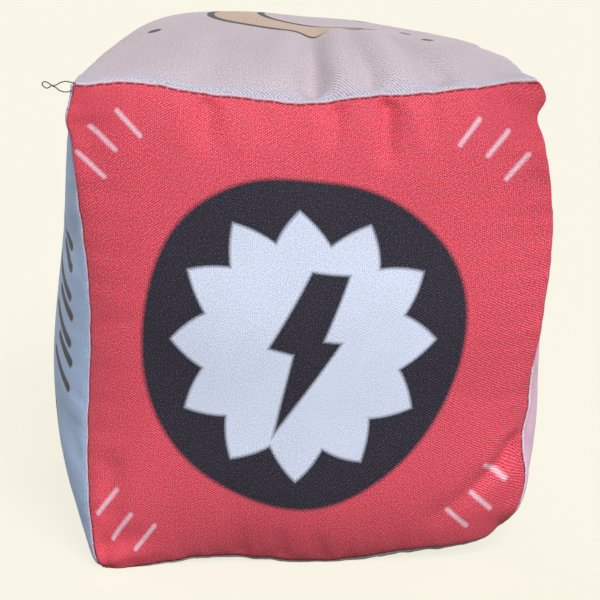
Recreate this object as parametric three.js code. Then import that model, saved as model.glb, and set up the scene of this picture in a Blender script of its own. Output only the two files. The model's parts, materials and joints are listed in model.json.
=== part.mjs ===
// Emotion cube: a soft toy cube, sewn from six printed cloth panels and stuffed with fibre.
// Millimetres, +Z up, front towards -Y. The origin is the middle of the flat patch that it rests on.

import * as THREE from "three";

// The sewn cube
const cubeSide = 120;
const clothThickness = 0.5;
const sewnGap = 0.3;
const rollRadius = 0.75;
const allowanceWidth = 6;
const allowanceClip = 0.6;

// How far the filling pushes each panel out in its middle
const frontCrown = 12;
const backCrown = 11;
const leftCrown = 14;
const rightCrown = 6.2;
const topCrown = 14;
const bottomCrown = 8;

// The flat patch that it rests on is cut this deep into the bottom panel's crown
const restCut = 2;

// The filling keeps clear of the cloth and of the turned-in seam allowances
const fillingClearance = 1.1;
const fillingEdgeInset = 6;
const fillingGrooveDepth = 6.5;

// Sewing thread in each seam, and the loose loop at the front top left corner
const threadDiameter = 0.3;
const threadClearance = 0.3;
const looseThreadReach = 7;

// Where the corners sit, as shares of the side, away from those of a true cube
const cornerShiftShares = {
  frontTopLeft: [0.02, 0.006, 0.02],
  frontTopRight: [-0.038, 0.01, -0.006],
  frontBottomLeft: [0.028, -0.004, -0.03],
  frontBottomRight: [-0.07, 0.021, 0.046],
  backTopLeft: [0.033, 0.019, 0.02],
  backTopRight: [-0.06, -0.03, -0.02],
  backBottomLeft: [0.017, -0.017, 0.008],
  backBottomRight: [-0.017, -0.017, 0.008],
};

// How far each corner is blunted towards the middle of the cube, and how far around it that reaches,
// as shares of the side. A corner with a share below zero stands out as a lobe instead.
const cornerBluntShares = {
  frontTopLeft: [0.007, 0.05],
  frontTopRight: [-0.024, 0.053],
  frontBottomLeft: [0.018, 0.028],
  frontBottomRight: [0.029, 0.048],
  backTopLeft: [0.03, 0.08],
  backTopRight: [0.03, 0.08],
  backBottomLeft: [0.03, 0.08],
  backBottomRight: [0.03, 0.08],
};

// How the filling draws each seam in, square to each of its two faces in turn, as shares of the side:
// one bow over the whole seam, then waves of two, three, four and five halves
const seamShares = [
  {
    faces: ["front", "top"],
    draws: [[0.025, 0, -0.001, 0.001, 0], [0.031, -0.002, -0.011, -0.002, -0.001]],
  },
  {
    faces: ["front", "bottom"],
    draws: [[0.005, 0.007, 0.001, 0, -0.002], [-0.019, 0.017, 0.003, 0, -0.003]],
  },
  {
    faces: ["front", "left"],
    draws: [[0.027, 0, 0, -0.005, -0.003], [0.006, -0.005, -0.008, 0.002, 0]],
  },
  {
    faces: ["front", "right"],
    draws: [[0.01, -0.009, -0.002, -0.001, -0.005], [-0.036, 0.014, 0, -0.002, 0.002]],
  },
  {
    faces: ["back", "top"],
    draws: [[0.029, -0.004, 0, 0, 0], [0.029, 0, 0.004, 0, 0]],
  },
  {
    faces: ["back", "bottom"],
    draws: [[0.029, 0, 0.004, 0, 0], [0.017, -0.004, 0, 0, 0]],
  },
  {
    faces: ["back", "left"],
    draws: [[0.029, 0.001, -0.002, 0, 0], [0.023, -0.011, 0.019, 0, 0]],
  },
  {
    faces: ["back", "right"],
    draws: [[0.029, 0, 0.001, 0, 0], [0.033, 0.007, -0.013, 0, 0]],
  },
  {
    faces: ["top", "left"],
    draws: [[-0.003, 0.003, 0.006, -0.001, 0.001], [0.021, -0.009, -0.005, 0.001, 0]],
  },
  {
    faces: ["top", "right"],
    draws: [[-0.009, -0.011, -0.015, 0, 0], [0.034, -0.002, 0, 0, 0]],
  },
  {
    faces: ["bottom", "left"],
    draws: [[0.032, 0.002, 0, 0, 0], [0.015, -0.008, -0.003, 0, 0]],
  },
  {
    faces: ["bottom", "right"],
    draws: [[0.033, 0.002, 0.002, 0, 0], [0.012, -0.014, -0.004, 0.001, 0.001]],
  },
];

// Where a panel is fuller, across and upwards, as shares of its crown
const leanShares = {
  front: [0.013, 0],
  back: [0, 0],
  left: [-0.084, -0.366],
  right: [0.4, -0.33],
  top: [-0.204, 0.124],
  bottom: [0.2, -0.25],
};

// Folds in a panel, as shares of half the side, from the seam inwards
const foldShares = [
  { face: "front", from: [-0.44, 0.98], to: [-0.4, 0.74], width: 0.07, depth: -0.02 },
  { face: "front", from: [0.12, 0.98], to: [0.08, 0.8], width: 0.06, depth: -0.018 },
  { face: "front", from: [0.37, 0.98], to: [0.4, 0.72], width: 0.07, depth: -0.025 },
  { face: "front", from: [0.97, -0.44], to: [0.7, -0.7], width: 0.09, depth: -0.05 },
  { face: "front", from: [0.72, -0.95], to: [0.9, -0.72], width: 0.1, depth: 0.03 },
  { face: "front", from: [-0.97, -0.84], to: [-0.78, -0.9], width: 0.06, depth: -0.02 },
  { face: "front", from: [-0.25, -0.98], to: [-0.22, -0.84], width: 0.06, depth: -0.018 },
  { face: "front", from: [-0.05, -0.98], to: [-0.06, -0.84], width: 0.06, depth: -0.018 },
  { face: "top", from: [0.05, -0.98], to: [0.02, -0.4], width: 0.09, depth: -0.025 },
  { face: "top", from: [0.42, -0.98], to: [0.4, -0.66], width: 0.08, depth: -0.02 },
  { face: "top", from: [-0.42, -0.98], to: [-0.36, -0.6], width: 0.08, depth: -0.018 },
  { face: "left", from: [0.98, 0.35], to: [0.7, 0.3], width: 0.08, depth: -0.02 },
  { face: "left", from: [0.98, -0.5], to: [0.66, -0.42], width: 0.09, depth: -0.022 },
  { face: "left", from: [-0.2, 0.98], to: [-0.24, 0.72], width: 0.08, depth: -0.018 },
  { face: "right", from: [-0.98, 0.1], to: [-0.7, 0.16], width: 0.08, depth: -0.018 },
  { face: "right", from: [-0.98, -0.52], to: [-0.68, -0.46], width: 0.09, depth: -0.022 },
  { face: "right", from: [0.3, 0.98], to: [0.34, 0.7], width: 0.08, depth: -0.018 },
  { face: "back", from: [-0.3, 0.98], to: [-0.34, 0.7], width: 0.08, depth: -0.02 },
  { face: "back", from: [0.4, 0.98], to: [0.44, 0.76], width: 0.07, depth: -0.018 },
  { face: "back", from: [0.98, -0.3], to: [0.72, -0.26], width: 0.08, depth: -0.02 },
];

// Under a fold the filling gives way over a wider strip
const fillingFoldShare = 2.2;

// The loose thread's route from the corner, as shares of its reach: left, forward, up
const looseThreadShares = [
  [0, 0, 0.25],
  [0.16, 0.04, 0.2],
  [0.43, 0.06, 0.06],
  [0.7, 0.02, 0.13],
  [0.94, -0.03, 0.12],
  [1, -0.06, 0.01],
  [0.88, -0.09, -0.08],
  [0.65, -0.12, -0.03],
  [0.42, -0.13, -0.07],
  [0.25, -0.06, -0.14],
  [0.15, 0, -0.13],
];

// Shape of a bow and of a crown, as powers of the way along and across
const bowPower = 0.75;
const crownPower = 2.4;
const crownFullness = 0.7;
const bottomCrownPower = 4;

// How finely a panel, the filling and the threads are divided
const panelCells = 11;
const fillingCells = 10;
const threadHalfSides = 3;
const restSearchSteps = 24;
const seamThreadSteps = 24;
const looseThreadSteps = 36;

// Along a seam the cells are finer towards its ends
const endGradingShare = 0.35;

// A seam thread stops short of the corners
const threadSpanShare = 0.955;

// The rolled edge, as turns of the cloth between the panel and the stitch line
const rollTurns = [1.92, 0.96, 0];

const halfSide = cubeSide / 2;
const rollDistance = rollRadius + sewnGap / 2;
const diagonalShare = Math.SQRT1_2;

const faces = {
  front: { out: new THREE.Vector3(0, -1, 0), across: new THREE.Vector3(1, 0, 0), crown: frontCrown },
  back: { out: new THREE.Vector3(0, 1, 0), across: new THREE.Vector3(-1, 0, 0), crown: backCrown },
  left: { out: new THREE.Vector3(-1, 0, 0), across: new THREE.Vector3(0, -1, 0), crown: leftCrown },
  right: { out: new THREE.Vector3(1, 0, 0), across: new THREE.Vector3(0, 1, 0), crown: rightCrown },
  top: { out: new THREE.Vector3(0, 0, 1), across: new THREE.Vector3(1, 0, 0), crown: topCrown },
  bottom: { out: new THREE.Vector3(0, 0, -1), across: new THREE.Vector3(1, 0, 0), crown: bottomCrown },
};

for (const [name, face] of Object.entries(faces)) {
  face.name = name;
  face.up = face.out.clone().cross(face.across);
  face.crownPower = name === "bottom" ? bottomCrownPower : crownPower;
}

const [panelRise, panelReach] = edgeOffset(rollTurns[0]);

const corners = [-1, 1].flatMap((x) => [-1, 1].flatMap((y) => [-1, 1].map((z) => {
  const direction = new THREE.Vector3(x, y, z);
  const [depth, reach] = cornerBluntShares[cornerName(direction)].map((share) => share * cubeSide);
  return { tip: cornerPoint(direction), diagonal: direction.normalize(), depth, reach };
})));

// The middle of the cube stands this high once the bottom crown is cut flat
const centreHeight = -lowestPoint() - restCut;

function addScaled(point, ...pairs) {
  const sum = point.clone();
  for (const [direction, length] of pairs) {
    sum.addScaledVector(direction, length);
  }
  return sum;
}

function faceTowards(direction) {
  return Object.values(faces).find((face) => face.out.dot(direction) > 0.5);
}

function cornerName(direction) {
  const depthName = direction.y < 0 ? "front" : "back";
  const heightName = direction.z > 0 ? "Top" : "Bottom";
  const sideName = direction.x < 0 ? "Left" : "Right";
  return depthName + heightName + sideName;
}

// The corner of the sewn cube on three faces
function cornerPoint(direction) {
  const shift = new THREE.Vector3(...cornerShiftShares[cornerName(direction)]);
  return direction.clone().multiplyScalar(halfSide).addScaledVector(shift, cubeSide);
}

// Draw of the seam between two faces at t from -1 to 1, square to the first of them
function seamDraw(face, neighbour, t) {
  const joins = ({ faces: joined }) => joined.includes(face.name) && joined.includes(neighbour.name);
  const seam = seamShares.find(joins);
  const side = seam.faces.indexOf(face.name);
  const [bow, ...waves] = seam.draws[side];
  const halfTurn = (Math.PI * (t + 1)) / 2;
  const swing = waves.reduce((sum, share, index) => sum + share * Math.sin((index + 2) * halfTurn), 0);
  return cubeSide * (bow * Math.pow(1 - t * t, bowPower) + swing);
}

// A point on the seam, at t from -1 to 1 along a direction
function seamPoint(face, neighbour, along, t) {
  const middle = face.out.clone().add(neighbour.out);
  const start = cornerPoint(middle.clone().sub(along));
  const end = cornerPoint(middle.clone().add(along));
  const worldT = t * Math.sign(along.x + along.y + along.z);
  const chord = start.lerp(end, (t + 1) / 2);
  const faceDraw = seamDraw(face, neighbour, worldT);
  const neighbourDraw = seamDraw(neighbour, face, worldT);
  return addScaled(chord, [face.out, -faceDraw], [neighbour.out, -neighbourDraw]);
}

// The rolled edge seen along the seam: how far out of its own face, and towards the neighbour
function edgeOffset(turn) {
  const awayFromSeam = rollDistance - rollRadius * Math.cos(turn);
  const aboveStitches = rollRadius * Math.sin(turn);
  const rise = diagonalShare * (aboveStitches + awayFromSeam);
  const reach = diagonalShare * (aboveStitches - awayFromSeam);
  return [rise, reach];
}

// The end of the turned-in seam allowance, in the same terms
function allowanceOffset() {
  const rise = diagonalShare * (sewnGap / 2 - allowanceWidth);
  const reach = diagonalShare * (-sewnGap / 2 - allowanceWidth);
  return [rise, reach];
}

function foldHeight(face, u, v, widthShare) {
  let height = 0;
  for (const fold of foldShares) {
    if (fold.face !== face.name) {
      continue;
    }
    const lengthU = fold.to[0] - fold.from[0];
    const lengthV = fold.to[1] - fold.from[1];
    const fromStartU = u - fold.from[0];
    const fromStartV = v - fold.from[1];
    const along = (fromStartU * lengthU + fromStartV * lengthV) / (lengthU ** 2 + lengthV ** 2);
    const share = Math.min(1, Math.max(0, along));
    const distance = Math.hypot(fromStartU - share * lengthU, fromStartV - share * lengthV);
    const edgeFade = Math.min(1, (1 - Math.max(Math.abs(u), Math.abs(v))) / fold.width);
    const crossing = Math.exp(-((distance / (fold.width * widthShare)) ** 2));
    height += fold.depth * crossing * edgeFade * (1 - share / 2);
  }
  return halfSide * height;
}

// The crowned face of a panel, spanning its four rolled edges
function facePoint(face, u, v, foldWidthShare = 1) {
  const side = (direction, along, t) => {
    const neighbour = faceTowards(direction);
    const onSeam = seamPoint(face, neighbour, along, t);
    return addScaled(onSeam, [face.out, panelRise], [direction, panelReach], [along, t * panelReach]);
  };
  const left = face.across.clone().negate();
  const down = face.up.clone().negate();
  const shareU = (u + 1) / 2;
  const shareV = (v + 1) / 2;
  const across = side(left, face.up, v).lerp(side(face.across, face.up, v), shareU);
  const upwards = side(down, face.across, u).lerp(side(face.up, face.across, u), shareV);
  const lower = side(left, face.up, -1).lerp(side(face.across, face.up, -1), shareU);
  const upper = side(left, face.up, 1).lerp(side(face.across, face.up, 1), shareU);
  const bulge = (1 - Math.abs(u) ** face.crownPower) * (1 - Math.abs(v) ** face.crownPower);
  const [leanAcross, leanUp] = leanShares[face.name];
  const crown = face.crown * bulge ** crownFullness * (1 + leanAcross * u) * (1 + leanUp * v);
  const height = crown + foldHeight(face, u, v, foldWidthShare);
  return across.add(upwards).sub(lower.lerp(upper, shareV)).addScaledVector(face.out, height);
}

// Even steps from -1 to 1, drawn together towards both ends
function gradedSteps(cells) {
  const steps = [];
  for (let index = 0; index <= cells; index += 1) {
    const even = (2 * index) / cells - 1;
    const rounded = Math.sin((even * Math.PI) / 2);
    steps.push(even + endGradingShare * (rounded - even));
  }
  return steps;
}

function lowestPoint() {
  const steps = gradedSteps(restSearchSteps);
  const heights = steps.flatMap((u) => steps.map((v) => {
    return bluntedAtCorners(facePoint(faces.bottom, u, v)).z;
  }));
  return Math.min(...heights);
}

// Moves whatever lies near a corner in towards the middle of the cube
function bluntedAtCorners(point) {
  const moved = point.clone();
  for (const { tip, diagonal, depth, reach } of corners) {
    const nearness = Math.exp(-point.distanceToSquared(tip) / reach ** 2);
    moved.addScaledVector(diagonal, -depth * nearness);
  }
  return moved;
}

function standOn(point, height) {
  const raised = bluntedAtCorners(point);
  raised.z = Math.max(raised.z + centreHeight, height);
  return raised;
}

function namedMesh(name, positions, triangles, material) {
  const geometry = new THREE.BufferGeometry();
  geometry.setAttribute("position", new THREE.Float32BufferAttribute(positions, 3));
  geometry.setIndex(triangles);
  geometry.computeVertexNormals();
  const mesh = new THREE.Mesh(geometry, material);
  mesh.name = name;
  return mesh;
}

// Cloth of an even thickness under a grid of points, over the cells that are kept
function clothSheet(name, points, keepCell, thickness, material) {
  const rows = points.length;
  const columns = points[0].length;
  const isKept = (i, j) => i >= 0 && j >= 0 && i < rows - 1 && j < columns - 1 && keepCell(i, j);
  const cellNormal = (i, j) => {
    const first = points[i + 1][j + 1].clone().sub(points[i][j]);
    const second = points[i][j + 1].clone().sub(points[i + 1][j]);
    return first.cross(second).normalize();
  };
  const positions = [];
  const outer = new Map();
  const inner = new Map();
  const key = (i, j) => i * columns + j;
  for (let i = 0; i < rows; i += 1) {
    for (let j = 0; j < columns; j += 1) {
      const around = [[i - 1, j - 1], [i - 1, j], [i, j - 1], [i, j]].filter((cell) => isKept(...cell));
      if (around.length === 0) {
        continue;
      }
      const normals = around.map((cell) => cellNormal(...cell));
      const normal = normals.reduce((sum, one) => sum.add(one), new THREE.Vector3()).normalize();
      const spread = normals.reduce((sum, one) => sum + one.dot(normal), 0) / normals.length;
      const under = addScaled(points[i][j], [normal, -thickness / spread]);
      outer.set(key(i, j), positions.length / 3);
      positions.push(...points[i][j].toArray());
      inner.set(key(i, j), positions.length / 3);
      positions.push(...under.toArray());
    }
  }
  const triangles = [];
  const addQuad = (a, b, c, d) => triangles.push(a, b, c, a, c, d);
  const addWall = (start, end) => {
    addQuad(outer.get(end), outer.get(start), inner.get(start), inner.get(end));
  };
  for (let i = 0; i < rows - 1; i += 1) {
    for (let j = 0; j < columns - 1; j += 1) {
      if (!isKept(i, j)) {
        continue;
      }
      const loop = [key(i, j), key(i + 1, j), key(i + 1, j + 1), key(i, j + 1)];
      addQuad(...loop.map((corner) => outer.get(corner)));
      addQuad(...loop.map((corner) => inner.get(corner)).reverse());
      const neighbours = [[i, j - 1], [i + 1, j], [i, j + 1], [i - 1, j]];
      neighbours.forEach((cell, side) => {
        if (!isKept(...cell)) {
          addWall(loop[side], loop[(side + 1) % loop.length]);
        }
      });
    }
  }
  return namedMesh(name, positions, triangles, material);
}

// Grid lines of a panel: the face itself, then its rolled edge and its allowance at both ends
function panelLines() {
  const face = gradedSteps(panelCells).map((t) => ({ t, row: 0 }));
  const before = [3, 2, 1].map((row) => ({ t: -1, row }));
  const after = [1, 2, 3].map((row) => ({ t: 1, row }));
  return [...before, ...face, ...after];
}

function panelPoint(face, column, row) {
  if (column.row === 0 && row.row === 0) {
    return facePoint(face, column.t, row.t);
  }
  if (column.row > 0 && row.row > 0) {
    return panelCornerPoint(face, column, row);
  }
  const overSide = column.row > 0;
  const rolled = overSide ? column : row;
  const along = overSide ? face.up : face.across;
  const direction = (overSide ? face.across : face.up).clone().multiplyScalar(rolled.t);
  const t = overSide ? row.t : column.t;
  const isAllowance = rolled.row === rollTurns.length;
  const [out, towards] = isAllowance ? allowanceOffset() : edgeOffset(rollTurns[rolled.row]);
  const mitre = isAllowance ? allowanceWidth * diagonalShare + allowanceClip : 0;
  const onSeam = seamPoint(face, faceTowards(direction), along, t);
  return addScaled(onSeam, [face.out, out], [direction, towards], [along, t * (panelReach - mitre)]);
}

// The rounded tip of a panel, where its two rolled edges meet
function panelCornerPoint(face, column, row) {
  const across = face.across.clone().multiplyScalar(column.t);
  const upwards = face.up.clone().multiplyScalar(row.t);
  const corner = cornerPoint(face.out.clone().add(across).add(upwards));
  const last = rollTurns.length - 1;
  const columnRow = Math.min(column.row, last);
  const rowRow = Math.min(row.row, last);
  const [columnRise, columnReach] = edgeOffset(rollTurns[columnRow]);
  const [rowRise, rowReach] = edgeOffset(rollTurns[rowRow]);
  const [, stitchReach] = edgeOffset(rollTurns[last]);
  const deepest = Math.max(columnRow, rowRow) === last;
  const towards = (own, ownReach) => {
    return deepest ? panelReach + ((stitchReach - panelReach) * own) / last : ownReach;
  };
  return addScaled(
    corner,
    [face.out, Math.min(columnRise, rowRise)],
    [across, towards(columnRow, columnReach)],
    [upwards, towards(rowRow, rowReach)],
  );
}

function panel(face, material) {
  const lines = panelLines();
  const points = lines.map((column) => lines.map((row) => standOn(panelPoint(face, column, row), 0)));
  const cellRow = (index) => Math.max(lines[index].row, lines[index + 1].row);
  const isFace = (index) => cellRow(index) === 0;
  const isAllowance = (index) => cellRow(index) === rollTurns.length;
  const keepCell = (i, j) => (!isAllowance(i) || isFace(j)) && (!isAllowance(j) || isFace(i));
  return clothSheet(`${face.name}_panel`, points, keepCell, clothThickness, material);
}

// The filling: six crowned faces, with a groove along each seam for the allowances
function filling(material) {
  const positions = [];
  const triangles = [];
  const known = new Map();
  const vertex = (point) => {
    const key = point.toArray().map((value) => value.toFixed(4)).join(" ");
    if (!known.has(key)) {
      known.set(key, positions.length / 3);
      positions.push(...point.toArray());
    }
    return known.get(key);
  };
  const addQuad = (a, b, c, d) => triangles.push(a, b, c, a, c, d);
  const lift = clothThickness + fillingClearance;
  const reachShare = 1 - fillingEdgeInset / halfSide;
  const fillingPoint = (face, u, v) => {
    const onCloth = facePoint(face, u * reachShare, v * reachShare, fillingFoldShare);
    return vertex(standOn(addScaled(onCloth, [face.out, -lift]), lift));
  };
  const steps = gradedSteps(fillingCells);
  for (const face of Object.values(faces)) {
    const facePoints = steps.map((u) => steps.map((v) => fillingPoint(face, u, v)));
    const groovePoint = (direction, along, t) => {
      const neighbour = faceTowards(direction);
      const onSeam = seamPoint(face, neighbour, along, t);
      const depth = -fillingGrooveDepth;
      const bottom = addScaled(onSeam, [face.out, depth], [direction, depth], [along, t * depth]);
      return vertex(standOn(bottom, lift));
    };
    const left = face.across.clone().negate();
    const down = face.up.clone().negate();
    for (let i = 0; i < fillingCells; i += 1) {
      for (let j = 0; j < fillingCells; j += 1) {
        addQuad(facePoints[i][j], facePoints[i + 1][j], facePoints[i + 1][j + 1], facePoints[i][j + 1]);
      }
      const last = fillingCells;
      const start = steps[i];
      const end = steps[i + 1];
      const lower = [groovePoint(down, face.across, start), groovePoint(down, face.across, end)];
      const upper = [groovePoint(face.up, face.across, start), groovePoint(face.up, face.across, end)];
      const before = [groovePoint(left, face.up, start), groovePoint(left, face.up, end)];
      const after = [groovePoint(face.across, face.up, start), groovePoint(face.across, face.up, end)];
      addQuad(lower[0], lower[1], facePoints[i + 1][0], facePoints[i][0]);
      addQuad(facePoints[i][last], facePoints[i + 1][last], upper[1], upper[0]);
      addQuad(before[0], facePoints[0][i], facePoints[0][i + 1], before[1]);
      addQuad(facePoints[last][i], after[0], after[1], facePoints[last][i + 1]);
    }
  }
  return namedMesh("filling", positions, triangles, material);
}

// A closed tube of thread along a smooth curve
function threadMesh(name, route, steps, material) {
  const section = new THREE.Shape();
  section.absarc(0, 0, threadDiameter / 2, 0, 2 * Math.PI);
  const geometry = new THREE.ExtrudeGeometry(section, {
    steps,
    curveSegments: threadHalfSides,
    bevelEnabled: false,
    extrudePath: new THREE.CatmullRomCurve3(route, false, "centripetal"),
  });
  const mesh = new THREE.Mesh(geometry, material);
  mesh.name = name;
  return mesh;
}

// The thread lies in the groove between two rolled edges, clear of both
function seamThread(seam, material) {
  const [first, second] = seam.faces.map((name) => faces[name]);
  const along = first.out.clone().cross(second.out);
  const reachToRoll = rollRadius + threadDiameter / 2 + threadClearance;
  const height = diagonalShare * Math.sqrt(reachToRoll ** 2 - rollDistance ** 2);
  const route = gradedSteps(panelCells).map((step) => {
    const t = Math.max(-threadSpanShare, Math.min(threadSpanShare, step));
    const onSeam = seamPoint(first, second, along, t);
    return standOn(addScaled(onSeam, [first.out, height], [second.out, height]), 0);
  });
  return threadMesh(`seam_thread_${first.name}_${second.name}`, route, seamThreadSteps, material);
}

function looseThread(material) {
  const corner = cornerPoint(new THREE.Vector3(-1, -1, 1));
  const route = looseThreadShares.map(([left, forward, up]) => {
    const bend = new THREE.Vector3(-left, -forward, up).multiplyScalar(looseThreadReach);
    return standOn(corner.clone().add(bend), 0);
  });
  return threadMesh("loose_thread", route, looseThreadSteps, material);
}

function cloth(color) {
  return new THREE.MeshStandardMaterial({ color, roughness: 0.85, metalness: 0 });
}

const clothColors = {
  front: cloth(0xd4546a),
  back: cloth(0xe6c15a),
  left: cloth(0x8d9eba),
  right: cloth(0xd8abc7),
  top: cloth(0xb9aab4),
  bottom: cloth(0xc8b8bb),
};
const fibre = new THREE.MeshStandardMaterial({ color: 0xf1eee8, roughness: 1, metalness: 0 });
const thread = new THREE.MeshStandardMaterial({ color: 0xd9d3d6, roughness: 0.7, metalness: 0 });

const cube = new THREE.Group();
cube.name = "emotion_cube";
for (const face of Object.values(faces)) {
  cube.add(panel(face, clothColors[face.name]));
}
cube.add(filling(fibre));
for (const seam of seamShares) {
  cube.add(seamThread(seam, thread));
}
cube.add(looseThread(thread));

export default cube;
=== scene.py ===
import json
import math

import bpy
import numpy as np
from mathutils import Matrix, Vector

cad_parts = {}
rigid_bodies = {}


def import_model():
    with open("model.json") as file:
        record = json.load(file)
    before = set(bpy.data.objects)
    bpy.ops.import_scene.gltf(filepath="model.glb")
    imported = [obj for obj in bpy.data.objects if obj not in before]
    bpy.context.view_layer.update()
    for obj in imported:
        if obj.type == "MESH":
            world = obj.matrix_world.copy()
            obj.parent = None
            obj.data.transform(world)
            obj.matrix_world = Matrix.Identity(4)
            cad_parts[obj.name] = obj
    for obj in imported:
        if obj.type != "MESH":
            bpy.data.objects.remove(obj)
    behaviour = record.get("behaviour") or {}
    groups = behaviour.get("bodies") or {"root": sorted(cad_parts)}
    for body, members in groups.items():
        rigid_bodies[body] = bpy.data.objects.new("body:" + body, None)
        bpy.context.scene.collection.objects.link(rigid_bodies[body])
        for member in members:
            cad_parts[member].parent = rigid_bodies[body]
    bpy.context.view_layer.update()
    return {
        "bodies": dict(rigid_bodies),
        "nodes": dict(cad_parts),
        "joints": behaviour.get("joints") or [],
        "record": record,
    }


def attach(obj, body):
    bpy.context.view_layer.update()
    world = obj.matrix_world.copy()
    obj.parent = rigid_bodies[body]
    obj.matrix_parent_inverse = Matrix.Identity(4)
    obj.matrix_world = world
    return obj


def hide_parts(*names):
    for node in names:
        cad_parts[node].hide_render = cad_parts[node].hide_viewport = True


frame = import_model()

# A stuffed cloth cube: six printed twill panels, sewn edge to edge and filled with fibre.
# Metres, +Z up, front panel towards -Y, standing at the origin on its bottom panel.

MM = 0.001
DIAGONAL = math.sqrt(0.5)

# The sewn cube, as in the frame
CUBE_SIDE = 120 * MM
HALF_SIDE = CUBE_SIDE / 2
ALLOWANCE_WIDTH = 6 * MM
ALLOWANCE_CLIP = 0.6 * MM
REST_CUT = 2 * MM
REST_GRID = 49
CROWNS = {
    "front": 12 * MM,
    "back": 11 * MM,
    "left": 14 * MM,
    "right": 7 * MM,
    "top": 14 * MM,
    "bottom": 8 * MM,
}
BOW_POWER = 0.75
CROWN_POWER = 2.4
CROWN_FULLNESS = 0.7
BOTTOM_CROWN_POWER = 4

# The cloth, finer than the frame's: how it rolls into a seam, and how closely it is divided
CLOTH_THICKNESS = 0.35 * MM
SEWN_GAP = 0.08 * MM
ROLL_RADIUS = 0.42 * MM
ROLL_TURNS = [math.radians(angle) for angle in (112, 84, 56, 28, 0)]
STITCHED_LEVEL = len(ROLL_TURNS) - 1
FIRST_CELL = 0.3 * MM
WIDEST_CELL = 1.1 * MM
CELL_GROWTH = 1.25
ALLOWANCE_CELLS = 3

# Sewing thread
THREAD_RADIUS = 0.11 * MM
STITCH_LENGTH = 2.8 * MM
STITCHED_LENGTH = 114.6 * MM
STITCH_COUNT = round(STITCHED_LENGTH / STITCH_LENGTH)
LOOSE_THREAD_RADIUS = 0.18 * MM
LOOSE_THREAD_REACH = 7 * MM
THREAD_SPAN_SHARE = STITCHED_LENGTH / CUBE_SIDE

# The thread along a seam: how many of its radii it lies deep, and its steps for each stitch. Then the bar
# that a stitch makes across the seam: its points, how far it slants at most and, as shares of the roll's
# radius, half its length, the height of its arch, both from least to most, and how far out its ends lie.
THREAD_DEPTH_RADII = 3
THREAD_STEPS = 4
BAR_POINTS = 7
BAR_SLANT = 0.3
BAR_HALF_SHARES = (0.7, 0.95)
BAR_HEIGHT_SHARES = (0.4, 0.6)
BAR_END_SHARE = 0.35

# The loose thread's two plies: the radius of one, as a share of the thread's, how far its middle lies from
# the route, as a share of its own, the length of a turn of their twist, and the steps from bend to bend
PLY_SHARE = 0.55
PLY_OFFSET_SHARE = 0.8
PLY_TURN_LENGTH = 1.1 * MM
PLY_STEPS = 12

# Filling
FILLING_INSET = 5 * MM
FILLING_GROOVE = 6.5 * MM
FILLING_CLEARANCE = 0.9 * MM
FILLING_CELLS = 36
FILLING_WALL_POINTS = 5
FILLING_WELD = 0.02 * MM

# Its lumps under a panel: their seed, how many waves they are made of, the least and most of a wave's pace,
# their height, and the share of a half side over which they fade
LUMP_SEED = 7
LUMP_WAVES = 14
LUMP_PACE = (2, 9)
LUMP_HEIGHT = 0.12 * MM
LUMP_FADE_SHARE = 0.2

# The camera, about the middle of the cube
CAMERA_AZIMUTH = 0.80
CAMERA_ELEVATION = 12.37
CAMERA_ROLL = -1.34
CAMERA_DISTANCE = 567.7 * MM
CAMERA_SHIFT_RIGHT = -3.2 * MM
CAMERA_SHIFT_UP = -6.1 * MM
IMAGE_WIDTH_PX = 600
FOCAL_LENGTH_PX = 2026
SENSOR_WIDTH = 36
CAMERA_CLIP = 0.01

# Where the corners sit, as shares of the side, away from those of a true cube
CORNER_SHIFT_SHARES = {
    "front_top_left": (0.02, 0.006, 0.02),
    "front_top_right": (-0.038, 0.01, -0.006),
    "front_bottom_left": (0.028, -0.004, -0.03),
    "front_bottom_right": (-0.07, 0.021, 0.046),
    "back_top_left": (0.033, 0.019, 0.02),
    "back_top_right": (-0.06, -0.03, -0.02),
    "back_bottom_left": (0.017, -0.017, 0.008),
    "back_bottom_right": (-0.017, -0.017, 0.008),
}

# How far each front corner is blunted towards the middle of the cube, and how far around it that reaches,
# as shares of the side, then the same for any corner at the back. A corner with a share below zero stands
# out as a lobe instead.
CORNER_BLUNT_SHARES = {
    "front_top_left": (0.007, 0.05),
    "front_top_right": (-0.024, 0.053),
    "front_bottom_left": (0.018, 0.028),
    "front_bottom_right": (0.029, 0.048),
}
BACK_BLUNT_SHARES = (0.03, 0.08)

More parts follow.
